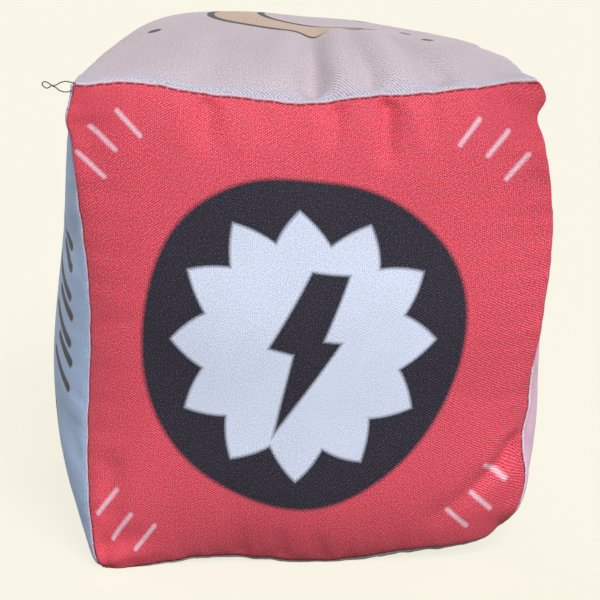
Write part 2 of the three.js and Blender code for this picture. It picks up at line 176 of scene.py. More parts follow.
# Lobes and hollows that the filling makes beside a corner: the middle of each from the corner,
# how far it pushes the cloth there, and how far around it that reaches, as shares of the side
CORNER_LOBE_SHARES = {
    "front_top_left": [
        ((0, 0, -0.067), (-0.01, 0, -0.007), 0.038),
        ((0, 0, -0.142), (0.003, 0, 0.001), 0.05),
        ((0.033, 0, 0), (0.005, 0, -0.003), 0.027),
        ((0, 0.1, 0), (0.007, 0.002, 0.006), 0.075),
    ],
    "front_top_right": [
        ((0, 0, -0.025), (0.016, 0, -0.012), 0.03),
        ((0, 0, -0.076), (-0.014, 0, 0), 0.035),
        ((0.01, 0.035, -0.018), (-0.03, 0.01, 0), 0.035),
        ((0, -0.02, -0.025), (0.014, 0, 0), 0.028),
        ((-0.033, 0, 0), (-0.012, 0, 0.002), 0.033),
    ],
    "front_bottom_right": [
        ((0, 0, 0.033), (-0.007, -0.002, -0.023), 0.05),
        ((0, 0, 0.108), (0.008, 0, 0.008), 0.042),
        ((0, 0, 0.183), (-0.01, 0.002, 0.032), 0.05),
        ((0, 0, 0.2), (0.009, 0, 0), 0.024),
        ((0, 0, 0.095), (0.004, 0, 0), 0.05),
        ((0, 0, 0), (-0.005, 0.003, 0.001), 0.025),
        ((-0.225, 0, 0), (0, 0, 0.008), 0.07),
    ],
    "front_bottom_left": [
        ((0.017, 0, 0), (0.011, 0, 0.004), 0.033),
        ((0, 0, 0.042), (0.005, -0.004, -0.02), 0.042),
        ((0.075, 0, 0), (-0.008, 0, 0.002), 0.042),
    ],
    "back_top_left": [
        ((0.033, -0.5, 0), (0.008, 0.002, 0.004), 0.33),
    ],
}

# How the filling draws each seam in, square to each of its two faces in turn, as shares of the side:
# one bow over the whole seam, then waves of two, three, four and more halves
SEAM_SHARES = {
    ("front", "top"): [
        (0.025, 0, -0.001, 0.001),
        (0.031, -0.002, -0.011, -0.002, -0.001, 0, -0.002, 0.001, 0.001),
    ],
    ("front", "bottom"): [(0.005, 0.007, 0.001, 0, -0.002), (-0.019, 0.017, 0.003, 0, -0.003)],
    ("front", "left"): [(0.027, 0, 0, -0.005, -0.003), (0.006, -0.005, -0.008, 0.002)],
    ("front", "right"): [(0.01, -0.009, -0.002, -0.001, -0.005), (-0.036, 0.014, 0, -0.002, 0.002)],
    ("back", "top"): [(0.029, -0.004), (0.029, 0, 0.004)],
    ("back", "bottom"): [(0.029, 0, 0.004), (0.017, -0.004)],
    ("back", "left"): [(0.029, 0.001, -0.002), (0.023, -0.011, 0.019)],
    ("back", "right"): [(0.029, 0, 0.001), (0.033, 0.007, -0.013)],
    ("top", "left"): [(-0.003, 0.003, 0.006, -0.001, 0.001), (0.021, -0.009, -0.005, 0.001)],
    ("top", "right"): [(-0.009, -0.011, -0.015), (0.034, -0.002)],
    ("bottom", "left"): [(0.032, 0.002), (0.015, -0.008, -0.003)],
    ("bottom", "right"): [(0.033, 0.002, 0.002), (0.012, -0.014, -0.004, 0.001, 0.001)],
}

# Where a panel is fuller, across and upwards, as shares of its crown
LEAN_SHARES = {
    "front": (0.013, 0),
    "back": (0, 0),
    "left": (-0.084, -0.366),
    "right": (0.2, -0.33),
    "top": (-0.204, 0.124),
    "bottom": (0.2, -0.25),
}

# Where a panel swells out over its seam with a neighbour, so that the seam lies behind it: how far,
# as a share of the side, and from where to where along the seam, as shares of half the side
OVERHANG_SHARES = [
    ("front", "right", 0.028, -0.39, 1.07),
    ("front", "left", 0.018, 0.45, 1.07),
    ("front", "right", 0.014, -1.2, -0.68),
    ("front", "bottom", 0.008, 0.3, 1.2),
]
OVERHANG_START = 0.7 * MM
OVERHANG_REACH = 8 * MM
OVERHANG_FADE_SHARE = 0.3

# Folds in each panel, as shares of half the side: start, end, width and depth, from the seam inwards
FOLD_SHARES = {
    "front": [
        ((-0.41, 0.99), (-0.42, 0.84), 0.04, -0.038),
        ((-0.18, 0.99), (-0.19, 0.88), 0.04, -0.011),
        ((0.15, 0.99), (0.13, 0.87), 0.038, -0.036),
        ((0.37, 0.99), (0.35, 0.78), 0.042, -0.056),
        ((0.56, 0.99), (0.55, 0.84), 0.04, -0.012),
        ((-0.53, 0.97), (-0.56, 0.84), 0.06, 0.01),
        ((-0.29, 0.97), (-0.3, 0.84), 0.06, 0.012),
        ((0.05, 0.97), (0.03, 0.86), 0.07, 0.012),
        ((0.47, 0.97), (0.5, 0.82), 0.05, 0.014),
        ((-0.9, 0.82), (-0.88, 0.6), 0.08, -0.018),
        ((0.94, 0.6), (0.95, 0.05), 0.05, -0.014),
        ((0.99, -0.63), (0.8, -0.7), 0.035, -0.028),
        ((0.93, -0.645), (0.6, -0.82), 0.05, -0.022),
        ((-0.89, -0.58), (-0.9, -0.78), 0.06, -0.022),
        ((-0.96, -0.87), (-0.8, -0.86), 0.045, -0.022),
        ((-0.9, -0.95), (-0.72, -0.95), 0.05, 0.014),
        ((-0.98, 0.03), (-0.84, 0.05), 0.04, -0.012),
        ((-0.3, -0.98), (-0.28, -0.88), 0.035, -0.014),
        ((-0.12, -0.98), (-0.12, -0.88), 0.035, -0.014),
        ((0.08, -0.98), (0.07, -0.9), 0.035, -0.012),
    ],
    "top": [
        ((0.06, -0.99), (0.09, -0.3), 0.06, -0.06),
        ((0.2, -0.97), (0.19, -0.4), 0.07, 0.03),
        ((0.32, -0.98), (0.25, -0.5), 0.05, -0.03),
        ((0.44, -0.97), (0.34, -0.4), 0.06, 0.025),
        ((0.64, -0.98), (0.44, -0.4), 0.06, -0.03),
        ((-0.12, -0.97), (-0.06, -0.5), 0.09, 0.02),
        ((-0.42, -0.98), (-0.36, -0.6), 0.08, -0.02),
    ],
    "left": [
        ((0.98, 0.35), (0.7, 0.3), 0.08, -0.02),
        ((0.98, -0.5), (0.66, -0.42), 0.09, -0.022),
        ((-0.2, 0.98), (-0.24, 0.72), 0.08, -0.018),
    ],
    "right": [
        ((-0.98, 0.1), (-0.7, 0.16), 0.08, -0.018),
        ((-0.98, -0.52), (-0.68, -0.46), 0.09, -0.022),
        ((0.3, 0.98), (0.34, 0.7), 0.08, -0.018),
    ],
    "back": [
        ((-0.3, 0.98), (-0.34, 0.7), 0.08, -0.02),
        ((0.4, 0.98), (0.44, 0.76), 0.07, -0.018),
        ((0.98, -0.3), (0.72, -0.26), 0.08, -0.02),
    ],
    "bottom": [],
}

# How the cloth settles over its filling, simulated on a coarser net of the whole cover: the cells of a
# panel, the side of its flat square, the frames until it rests and the cloth's settings, then the most
# that a point may move from the sewn form, the spread of the slow swelling that is left out of it, and
# how far beside a seam it fades
SETTLE_CELLS = 44
SETTLE_CUT = 126 * MM
SETTLE_FRAMES = 20
SETTLE_CLOTH = {
    "quality": 6,
    "mass": 0.05,
    "tension_stiffness": 30,
    "compression_stiffness": 30,
    "shear_stiffness": 12,
    "bending_stiffness": 0.3,
    "vertex_group_mass": "seams",
    "use_pressure": True,
    "uniform_pressure_force": 4,
}
SETTLE_MOST = 1.6 * MM
SETTLE_SPREAD = 11 * MM
SETTLE_FADE = 2 * MM

# Points of the net are told apart to this length, and a length below the second counts as that long
SAME_PLACE = 0.01 * MM
LEAST_LENGTH = 1e-9

# The loose thread's route from the corner, as shares of its reach: left, forward, up
LOOSE_THREAD_SHARES = [
    (-0.08, 0, 0.05),
    (0.06, 0.03, 0.08),
    (0.24, 0.05, 0.11),
    (0.42, 0.05, 0.06),
    (0.57, 0.03, -0.03),
    (0.71, 0.02, -0.06),
    (0.87, 0, -0.15),
    (1.01, -0.02, -0.04),
    (0.98, -0.03, 0.06),
    (0.85, -0.03, 0.05),
    (0.71, -0.05, -0.06),
    (0.57, -0.05, -0.13),
    (0.49, -0.04, -0.2),
    (0.35, -0.02, -0.25),
    (0.17, 0.02, -0.25),
    (0.03, 0.05, -0.19),
]

# Puckers beside a seam, which the stitches gather: height, reach and spacing along the seam
PUCKER_HEIGHT = 0.28 * MM
PUCKER_REACH = 7 * MM
PUCKER_START = 1.2 * MM
PUCKER_SPACING = 7 * MM
SEAM_RIPPLE = 0.17 * MM
RIPPLE_SPACING = 11 * MM
RIPPLE_REACH = 4 * MM
PUCKER_LEAN_SHARE = 0.12

# What a wander along a seam is made of: each wave's pace, the first one's being 1, with its weight, how far
# a pace is changed at random, and the share of a half seam over which the wander ends
WANDER_WAVES = ((1, 0.5), (1.7, 0.3), (2.9, 0.2))
WANDER_STRETCH = (0.85, 1.15)
WANDER_END_SHARE = 0.08


class Face:
    """One side of the cube, with its outward, across and upward directions."""

    def __init__(self, name, out, across):
        self.name = name
        self.out = np.array(out, float)
        self.across = np.array(across, float)
        self.up = np.cross(self.out, self.across)
        self.crown = CROWNS[name]
        self.crown_power = BOTTOM_CROWN_POWER if name == "bottom" else CROWN_POWER


FACES = {
    face.name: face
    for face in (
        Face("front", (0, -1, 0), (1, 0, 0)),
        Face("back", (0, 1, 0), (-1, 0, 0)),
        Face("left", (-1, 0, 0), (0, -1, 0)),
        Face("right", (1, 0, 0), (0, 1, 0)),
        Face("top", (0, 0, 1), (1, 0, 0)),
        Face("bottom", (0, 0, -1), (1, 0, 0)),
    )
}


def face_towards(direction):
    return max(FACES.values(), key=lambda face: face.out @ direction)


def corner_name(direction):
    depth = "front" if direction[1] < 0 else "back"
    height = "top" if direction[2] > 0 else "bottom"
    side = "left" if direction[0] < 0 else "right"
    return f"{depth}_{height}_{side}"


def corner_point(direction):
    shift = np.array(CORNER_SHIFT_SHARES[corner_name(direction)])
    return direction * HALF_SIDE + shift * CUBE_SIDE


def rounded_at_corners(points):
    """Moves whatever lies near a corner in towards the middle of the cube, and along with its lobes."""
    pushed = np.zeros_like(points)

    def push(middle, way, reach):
        nonlocal pushed
        distances = ((points - middle) ** 2).sum(axis=-1)
        pushed = pushed + way * np.exp(-distances / reach**2)[..., None]

    for direction in np.array(np.meshgrid((-1, 1), (-1, 1), (-1, 1))).reshape(3, -1).T.astype(float):
        name = corner_name(direction)
        tip = corner_point(direction)
        depth, reach = (share * CUBE_SIDE for share in CORNER_BLUNT_SHARES.get(name, BACK_BLUNT_SHARES))
        push(tip, -direction * math.sqrt(1 / 3) * depth, reach)
        for place, way, lobe_reach in CORNER_LOBE_SHARES.get(name, []):
            push(tip + np.array(place) * CUBE_SIDE, np.array(way) * CUBE_SIDE, lobe_reach * CUBE_SIDE)
    return points + pushed


def ripple(seed, t, spacing):
    """A smooth wander along a seam, from -1 to 1, still at both ends."""
    generator = np.random.default_rng(seed)
    total = np.zeros_like(t)
    for octave, weight in WANDER_WAVES:
        phase = generator.uniform(0, 2 * math.pi)
        stretch = generator.uniform(*WANDER_STRETCH)
        total += weight * np.sin(2 * math.pi * octave * stretch * HALF_SIDE * t / spacing + phase)
    return total * np.clip((1 - np.abs(t)) / WANDER_END_SHARE, 0, 1)


def seam_key(face, neighbour):
    key = (face.name, neighbour.name)
    return key if key in SEAM_SHARES else (neighbour.name, face.name)


def seam_draw(face, neighbour, t):
    """How far the filling draws the seam in from this face, at t from -1 to 1 along a world axis."""
    key = seam_key(face, neighbour)
    bow, *waves = SEAM_SHARES[key][key.index(face.name)]
    draw = bow * np.maximum(1 - t * t, 0) ** BOW_POWER
    for halves, share in enumerate(waves, 2):
        draw = draw + share * np.sin(halves * math.pi * (t + 1) / 2)
    return CUBE_SIDE * draw


def seam_curve(face, neighbour, along, t):
    """The smooth line of a seam, at t from -1 to 1 along a direction."""
    t = np.asarray(t, float)
    middle = face.out + neighbour.out
    start = corner_point(middle - along)
    end = corner_point(middle + along)
    world_t = t * np.sign(along.sum())
    share = ((t + 1) / 2)[..., None]
    chord = start * (1 - share) + end * share
    draw = seam_draw(face, neighbour, world_t)[..., None] * face.out
    side_draw = seam_draw(neighbour, face, world_t)[..., None] * neighbour.out
    return chord - draw - side_draw


def seam_wander(face, neighbour, along, t):
    """How far the stitches pull the seam off its smooth line."""
    key = seam_key(face, neighbour)
    world_t = np.asarray(t, float) * np.sign(along.sum())
    wander = 0
    for side in (face, neighbour):
        seed = 10 * list(SEAM_SHARES).index(key) + key.index(side.name)
        wander = wander - (SEAM_RIPPLE * ripple(seed, world_t, RIPPLE_SPACING))[..., None] * side.out
    return wander


def seam_points(face, neighbour, along, t):
    return seam_curve(face, neighbour, along, t) + seam_wander(face, neighbour, along, t)


def edge_offset(turn):
    """The rolled edge seen along the seam: its rise out of its own face, its reach to the neighbour."""
    away = ROLL_RADIUS + SEWN_GAP / 2 - ROLL_RADIUS * math.cos(turn)
    above = ROLL_RADIUS * math.sin(turn)
    return (above + away) * DIAGONAL, (above - away) * DIAGONAL


def allowance_offset(depth):
    return (SEWN_GAP / 2 - depth) * DIAGONAL, (-SEWN_GAP / 2 - depth) * DIAGONAL


def fold_height(face, u, v):
    """Creases and swells of a panel, each half as high at its inner end."""
    height = np.zeros_like(u)
    for start, end, width, depth in FOLD_SHARES[face.name]:
        length_u = end[0] - start[0]
        length_v = end[1] - start[1]
        along = ((u - start[0]) * length_u + (v - start[1]) * length_v) / (length_u**2 + length_v**2)
        share = np.clip(along, 0, 1)
        distance = np.hypot(u - start[0] - share * length_u, v - start[1] - share * length_v)
        edge_fade = np.clip((1 - np.maximum(np.abs(u), np.abs(v))) / width, 0, 1)
        height += depth * np.exp(-((distance / width) ** 2)) * edge_fade * (1 - share / 2)
    return HALF_SIDE * height


def pucker_height(face, u, v):
    """Small gathers that run into each seam and die out over a few millimetres."""
    height = np.zeros_like(u)
    sides = ((1 - u, v), (1 + u, v), (1 - v, u), (1 + v, u))
    for side, (away, along) in enumerate(sides):
        distance = away * HALF_SIDE
        seed = 100 + 10 * list(FACES).index(face.name) + side
        lean = along + PUCKER_LEAN_SHARE * away * (1 if side % 2 else -1)
        wave = ripple(seed, np.clip(lean, -1, 1), PUCKER_SPACING)
        fade = (1 - np.exp(-((distance / PUCKER_START) ** 2))) * np.exp(-distance / PUCKER_REACH)
        height += PUCKER_HEIGHT * wave * fade
    return height


def overhang(face, u, v):
    """How a full panel swells sideways, out over a seam."""
    swell = np.zeros((*u.shape, 3))
    for name, neighbour, far, start, end in OVERHANG_SHARES:
        if name != face.name:
            continue
        towards = FACES[neighbour].out
        away = (1 - u * (face.across @ towards) - v * (face.up @ towards)) * HALF_SIDE
        along = v * abs(face.across @ towards) + u * abs(face.up @ towards)
        inside = np.minimum(along - start, end - along)
        fade = np.clip(inside / OVERHANG_FADE_SHARE, 0, 1)
        profile = (1 - np.exp(-away / OVERHANG_START)) * np.exp(-away / OVERHANG_REACH)
        swell += (CUBE_SIDE * far * profile * fade * fade * (3 - 2 * fade))[..., None] * towards
    return swell


settled_nets = {}


def cubic_weights(places):
    """Which four grid lines lie around each place on a net, and how much each of them counts."""
    start = np.clip(np.floor(places).astype(int), 0, SETTLE_CELLS - 1)
    t = places - start
    weights = [
        (-t + 2 * t**2 - t**3) / 2,
        (2 - 5 * t**2 + 3 * t**3) / 2,
        (t + 4 * t**2 - 3 * t**3) / 2,
        (t**3 - t**2) / 2,
    ]
    lines = [np.clip(start + step, 0, SETTLE_CELLS) for step in (-1, 0, 1, 2)]
    return list(zip(lines, weights))


def settled_shift(face, u, v):
    """How far the simulated cloth has moved from the sewn form."""
    shift = np.zeros((*u.shape, 3))
    if face.name in settled_nets:
        net = settled_nets[face.name]
        for column, column_weight in cubic_weights((u + 1) / 2 * SETTLE_CELLS):
            for row, row_weight in cubic_weights((v + 1) / 2 * SETTLE_CELLS):
                shift += net[column, row] * (column_weight * row_weight)[..., None]
    return shift


def face_points(face, u, v, rise, reach, puckered=True):
    """The crowned face of a panel between its four rolled edges, for arrays u and v from -1 to 1."""

    def side(direction, along, t):
        onto_seam = seam_curve(face, face_towards(direction), along, t)
        return onto_seam + face.out * rise + direction * reach + along * (t * reach)[..., None]

    def wander(direction, along, t, away):
        fade = np.exp(-away * HALF_SIDE / RIPPLE_REACH)
        return seam_wander(face, face_towards(direction), along, t) * fade[..., None]

    share_u = ((u + 1) / 2)[..., None]
    share_v = ((v + 1) / 2)[..., None]
    end = np.ones(1)
    across = side(-face.across, face.up, v) * (1 - share_u) + side(face.across, face.up, v) * share_u
    upwards = side(-face.up, face.across, u) * (1 - share_v) + side(face.up, face.across, u) * share_v
    lower = side(-face.across, face.up, -end) * (1 - share_u) + side(face.across, face.up, -end) * share_u
    upper = side(-face.across, face.up, end) * (1 - share_u) + side(face.across, face.up, end) * share_u
    bulge = (1 - np.abs(u) ** face.crown_power) * (1 - np.abs(v) ** face.crown_power)
    lean_across, lean_up = LEAN_SHARES[face.name]
    crown = face.crown * np.maximum(bulge, 0) ** CROWN_FULLNESS * (1 + lean_across * u) * (1 + lean_up * v)
    height = crown + fold_height(face, u, v)
    if puckered:
        height = height + pucker_height(face, u, v)
    blend = across + upwards - lower * (1 - share_v) - upper * share_v
    for sign in (-1, 1):
        blend = blend + wander(sign * face.across, face.up, v, 1 - sign * u)
        blend = blend + wander(sign * face.up, face.across, u, 1 - sign * v)
    return blend + height[..., None] * face.out + overhang(face, u, v) + settled_shift(face, u, v)


def rest_height():
    """How high the middle of the cube stands once its bottom is pressed flat."""
    rise, reach = edge_offset(ROLL_TURNS[0])
    steps = np.linspace(-1, 1, REST_GRID)
    u, v = np.meshgrid(steps, steps, indexing="ij")
    bottom = face_points(FACES["bottom"], u, v, rise, reach, puckered=False)
    return -rounded_at_corners(bottom)[..., 2].min() - REST_CUT


CENTRE_HEIGHT = rest_height()


def stand_on(points, height=0.0):
    """Lifts the cube onto the floor and presses it flat there."""
    raised = rounded_at_corners(points)
    raised[..., 2] = np.maximum(raised[..., 2] + CENTRE_HEIGHT, height)
    return raised


def panel_steps():
    """Steps from -1 to 1 across a panel, finer beside the seams."""
    distances = [0.0]
    cell = FIRST_CELL
    while cell < WIDEST_CELL:
        distances.append(distances[-1] + cell)
        cell *= CELL_GROWTH
    middle = HALF_SIDE - distances[-1]
    cells = round(2 * middle / WIDEST_CELL)
    inner = np.linspace(-middle, middle, cells + 1)
    outer = HALF_SIDE - np.array(distances[:-1])
    return np.concatenate([-outer, inner, outer[::-1]]) / HALF_SIDE


def panel_lines():
    """Grid lines of a panel: allowance, rolled edge, face, rolled edge, allowance."""
    steps = panel_steps()
    rows = list(range(1, STITCHED_LEVEL + ALLOWANCE_CELLS + 1))
    ts = [-1.0] * len(rows) + list(steps) + [1.0] * len(rows)
    levels = rows[::-1] + [0] * len(steps) + rows
    return np.array(ts), np.array(levels)


def allowance_depth(level):
    """How much of the allowance lies between the stitches and this grid line."""
    return ALLOWANCE_WIDTH * max(0, level - STITCHED_LEVEL) / ALLOWANCE_CELLS


def level_offset(level):
    if level <= STITCHED_LEVEL:
        return edge_offset(ROLL_TURNS[level])
    return allowance_offset(allowance_depth(level))


def level_depth(level):
    """How much cloth lies between the face and this grid line."""
    turned = ROLL_TURNS[0] - ROLL_TURNS[min(level, STITCHED_LEVEL)]
    return turned * ROLL_RADIUS + allowance_depth(level)


def panel_grid(face):
    """All points of a panel, which of its cells are cloth, and its flat measures."""
    ts, levels = panel_lines()
    count = len(ts)
    rise, reach = edge_offset(ROLL_TURNS[0])
    points = np.zeros((count, count, 3))
    inner = np.where(levels == 0)[0]
    u, v = np.meshgrid(ts[inner], ts[inner], indexing="ij")
    points[np.ix_(inner, inner)] = face_points(face, u, v, rise, reach)
    for line in np.where(levels > 0)[0]:
        level = levels[line]
        out, towards = level_offset(level)
        clip = ALLOWANCE_CLIP if level > STITCHED_LEVEL else 0
        mitre = allowance_depth(level) * DIAGONAL + clip
        for columns, direction, along in ((True, face.across, face.up), (False, face.up, face.across)):
            towards_side = direction * ts[line]
            on_seam = seam_points(face, face_towards(towards_side), along, ts[inner])
            shift = along * (ts[inner] * (reach - mitre))[:, None]
            row = on_seam + face.out * out + towards_side * towards + shift
            if columns:
                points[line, inner] = row
            else:
                points[inner, line] = row
    rolled = np.where((levels > 0) & (levels <= STITCHED_LEVEL))[0]
    for i in rolled:
        for j in rolled:
            points[i, j] = panel_corner(face, ts[i], ts[j], levels[i], levels[j])
    cell_level = np.maximum(levels[:-1], levels[1:])
    is_face = cell_level == 0
    is_rolled = cell_level <= STITCHED_LEVEL
    keep = (is_rolled[:, None] | is_face[None, :]) & (is_rolled[None, :] | is_face[:, None])
    flat = ts * HALF_SIDE + np.sign(ts) * np.array([level_depth(level) for level in levels])
    return stand_on(points), keep, flat


def panel_corner(face, t_across, t_up, level_across, level_up):
    """The rounded tip of a panel, where two rolled edges meet."""
    across = face.across * t_across
    upwards = face.up * t_up
    rise_across, reach_across = edge_offset(ROLL_TURNS[level_across])
    rise_up, reach_up = edge_offset(ROLL_TURNS[level_up])
    _, face_reach = edge_offset(ROLL_TURNS[0])
    _, stitch_reach = edge_offset(ROLL_TURNS[STITCHED_LEVEL])
    tuck = max(level_across, level_up) / STITCHED_LEVEL
    reaches = []
    for level, own in ((level_across, reach_across), (level_up, reach_up)):
        stitched = face_reach + (stitch_reach - face_reach) * level / STITCHED_LEVEL
        reaches.append(own * (1 - tuck) + stitched * tuck)
    corner = corner_point(face.out + across + upwards)
    out = face.out * min(rise_across, rise_up)
    return corner + out + across * reaches[0] + upwards * reaches[1]


def in_scene(name, data):
    made = bpy.data.objects.new(name, data)
    bpy.context.scene.collection.objects.link(made)
    return made


def new_piece(name, points, faces):
    mesh = bpy.data.meshes.new(name)
    mesh.from_pydata([tuple(point) for point in points], [], faces)
    mesh.validate()
    mesh.polygons.foreach_set("use_smooth", [True] * len(mesh.polygons))
    return in_scene(name, mesh)


def grid_faces(keep):
    """Quads of the kept cells, and the number of each grid point that they use."""
    rows, columns = keep.shape
    used = np.zeros((rows + 1, columns + 1), bool)
    for di in (0, 1):
        for dj in (0, 1):
            used[di:rows + di, dj:columns + dj] |= keep
    index = -np.ones(used.shape, int)
    index[used] = np.arange(used.sum())
    i, j = np.where(keep)
    quads = np.stack([index[i, j], index[i + 1, j], index[i + 1, j + 1], index[i, j + 1]], axis=1)
    return quads.tolist(), used


def select_only(piece):
    bpy.ops.object.select_all(action="DESELECT")
    bpy.context.view_layer.objects.active = piece
    piece.select_set(True)


def apply_modifiers(piece):
    select_only(piece)
    for modifier in list(piece.modifiers):
        bpy.ops.object.modifier_apply(modifier=modifier.name)
    piece.select_set(False)


def cover_net():
    """The cover as one closed net, and as the flat squares it is cut from, with the seams welded."""
    steps = np.linspace(-1, 1, SETTLE_CELLS + 1)
    u, v = np.meshgrid(steps, steps, indexing="ij")
    sewn = [rounded_at_corners(face_points(face, u, v, 0, 0, puckered=False)) for face in FACES.values()]
    cut = [
        SETTLE_CUT / 2 * (face.out + face.across * u[..., None] + face.up * v[..., None])
        for face in FACES.values()
    ]
    every_cut = np.concatenate([grid.reshape(-1, 3) for grid in cut])
    every_sewn = np.concatenate([grid.reshape(-1, 3) for grid in sewn])
    places = np.round(every_cut / SAME_PLACE)
    _, first, number = np.unique(places, axis=0, return_index=True, return_inverse=True)
    number = number.reshape(len(FACES), *u.shape)
    quads = np.stack(
        [number[:, :-1, :-1], number[:, 1:, :-1], number[:, 1:, 1:], number[:, :-1, 1:]], axis=-1)
    return every_sewn[first], every_cut[first], quads.reshape(-1, 4).tolist(), number


def settle_cover():
    """Blows the cover up from inside as cloth, with its seams held, and keeps how its panels wrinkle."""
    sewn, cut, quads, number = cover_net()
    net = new_piece("cover_net", sewn, quads)
    net.shape_key_add(name="sewn")
    flat_key = net.shape_key_add(name="cut")
    flat_key.data.foreach_set("co", cut.ravel())
    on_seam = (np.abs(np.abs(cut) - SETTLE_CUT / 2) < SAME_PLACE).sum(axis=1) > 1
    net.vertex_groups.new(name="seams").add(np.where(on_seam)[0].tolist(), 1.0, "REPLACE")
    cloth = net.modifiers.new("cloth", "CLOTH")
    for setting, value in SETTLE_CLOTH.items():
        setattr(cloth.settings, setting, value)
    cloth.settings.rest_shape_key = flat_key
    cloth.settings.effector_weights.gravity = 0
    cloth.point_cache.frame_end = SETTLE_FRAMES
    scene = bpy.context.scene
    for frame in range(1, SETTLE_FRAMES + 1):
        scene.frame_set(frame)
    shape = net.evaluated_get(bpy.context.evaluated_depsgraph_get()).data
    rested = np.zeros(sewn.size)
    shape.vertices.foreach_get("co", rested)
    moved = rested.reshape(-1, 3) - sewn
    scene.frame_set(1)
    bpy.data.objects.remove(net)

    steps = np.linspace(-1, 1, SETTLE_CELLS + 1) * HALF_SIDE
    spread = np.exp(-(((steps[:, None] - steps[None, :]) / SETTLE_SPREAD) ** 2))
    spread /= spread.sum(axis=1, keepdims=True)
    for index, face in enumerate(FACES.values()):
        shift = moved[number[index]]
        slow = np.einsum("ai,ijk,bj->abk", spread, shift, spread)
        quick = shift - slow
        length = np.linalg.norm(quick, axis=-1, keepdims=True)
        quick *= SETTLE_MOST * np.tanh(length / SETTLE_MOST) / np.maximum(length, LEAST_LENGTH)
        edge = (HALF_SIDE - np.abs(steps)) / SETTLE_FADE
        fade = 1 - np.exp(-(np.minimum(edge[:, None], edge[None, :]) ** 2))
        settled_nets[face.name] = quick * fade[..., None]


def sewn_panel(face):
    """A panel of printed cloth with its rolled edges and its allowances turned in."""
    points, keep, flat = panel_grid(face)
    quads, used = grid_faces(keep)
    piece = new_piece(f"{face.name}_panel_cloth", points[used], quads)
    u, v = np.meshgrid(flat, flat, indexing="ij")
    uv_of_vertex = np.stack([u[used], v[used]], axis=1)
    layer = piece.data.uv_layers.new(name="flat_cloth")
    corners = np.zeros(len(piece.data.loops), int)
    piece.data.loops.foreach_get("vertex_index", corners)
    layer.data.foreach_set("uv", (uv_of_vertex[corners] / CUBE_SIDE + 0.5).ravel())
    thickness = piece.modifiers.new("cloth thickness", "SOLIDIFY")
    thickness.thickness = CLOTH_THICKNESS
    thickness.offset = -1
    apply_modifiers(piece)
    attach(piece, "root")
    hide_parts(f"{face.name}_panel")
    return piece


def thread_piece(name, routes, radius, replaced):
    """Lengths of thread along their routes, each a round bevelled curve, as one mesh."""
    curve = bpy.data.curves.new(name, "CURVE")
    curve.dimensions = "3D"
    curve.bevel_depth = radius
    curve.bevel_resolution = 1
    curve.use_fill_caps = True
    for route in routes:
        spline = curve.splines.new("POLY")
        spline.points.add(len(route) - 1)
        spline.points.foreach_set("co", np.column_stack([route, np.ones(len(route))]).ravel())
    piece = in_scene(name, curve)
    select_only(piece)
    bpy.ops.object.convert(target="MESH")
    piece.select_set(False)
    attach(piece, "root")
    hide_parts(replaced)
    return piece


def seam_stitches(first, second, seed):
    """Lockstitches of one seam: a thread along the stitch line, and a short bar across it at each stitch."""
    generator = np.random.default_rng(seed)
    along = np.cross(first.out, second.out)
    outwards = (first.out + second.out) * DIAGONAL
    across = (first.out - second.out) * DIAGONAL
    ts = np.linspace(-THREAD_SPAN_SHARE, THREAD_SPAN_SHARE, STITCH_COUNT + 1)
    fine = np.linspace(-THREAD_SPAN_SHARE, THREAD_SPAN_SHARE, THREAD_STEPS * STITCH_COUNT + 1)
    line = seam_points(first, second, along, fine) - outwards * THREAD_RADIUS * THREAD_DEPTH_RADII
    routes = [stand_on(line, THREAD_RADIUS)]
    for point in seam_points(first, second, along, ts):
        slant = generator.uniform(-BAR_SLANT, BAR_SLANT)
        half = ROLL_RADIUS * generator.uniform(*BAR_HALF_SHARES)
        height = ROLL_RADIUS * generator.uniform(*BAR_HEIGHT_SHARES)
        bar = []
        for share in np.linspace(-1, 1, BAR_POINTS):
            sink = height * (1 - abs(share) ** 3) + ROLL_RADIUS * BAR_END_SHARE
            bar.append(point + across * half * share + along * half * slant * share + outwards * sink)
        routes.append(stand_on(np.array(bar), THREAD_RADIUS))
    name = f"{first.name}_{second.name}"
    return thread_piece(f"{name}_stitches", routes, THREAD_RADIUS, f"seam_thread_{name}")


def smooth_route(points, steps):
    """A Catmull-Rom curve through the points."""
    points = np.asarray(points, float)
    padded = np.vstack([2 * points[0] - points[1], points, 2 * points[-1] - points[-2]])
    route = []
    for index in range(len(points) - 1):
        p0, p1, p2, p3 = padded[index:index + 4]
        for t in np.linspace(0, 1, steps, endpoint=False):
            bend = 2 * p0 - 5 * p1 + 4 * p2 - p3
            twist = 3 * p1 - p0 - 3 * p2 + p3
            route.append(0.5 * (2 * p1 + (p2 - p0) * t + bend * t * t + twist * t**3))
    route.append(points[-1])
    return np.array(route)


def loose_thread():
    """The loop of sewing thread that sticks out at the front top left corner, two plies twisted together."""
    corner = corner_point(np.array([-1.0, -1.0, 1.0]))
    shares = np.array(LOOSE_THREAD_SHARES)
    bends = shares * np.array([-1, -1, 1]) * LOOSE_THREAD_REACH
    route = smooth_route(stand_on(corner + bends), PLY_STEPS)
    lengths = np.concatenate([[0], np.cumsum(np.linalg.norm(np.diff(route, axis=0), axis=1))])
    tangents = np.gradient(route, axis=0)
    tangents /= np.linalg.norm(tangents, axis=1)[:, None]
    upright = np.array([0, 0, 1.0])
    normals = upright - tangents * (tangents @ upright)[:, None]
    normals /= np.linalg.norm(normals, axis=1)[:, None]
    sides = np.cross(tangents, normals)
    ply_radius = LOOSE_THREAD_RADIUS * PLY_SHARE
    turns = 2 * math.pi * lengths / PLY_TURN_LENGTH
    plies = []
    for start in (0, math.pi):
        around = np.cos(turns + start)[:, None] * normals + np.sin(turns + start)[:, None] * sides
        plies.append(route + around * ply_radius * PLY_OFFSET_SHARE)
    return thread_piece("loose_thread_loop", plies, ply_radius, "loose_thread")


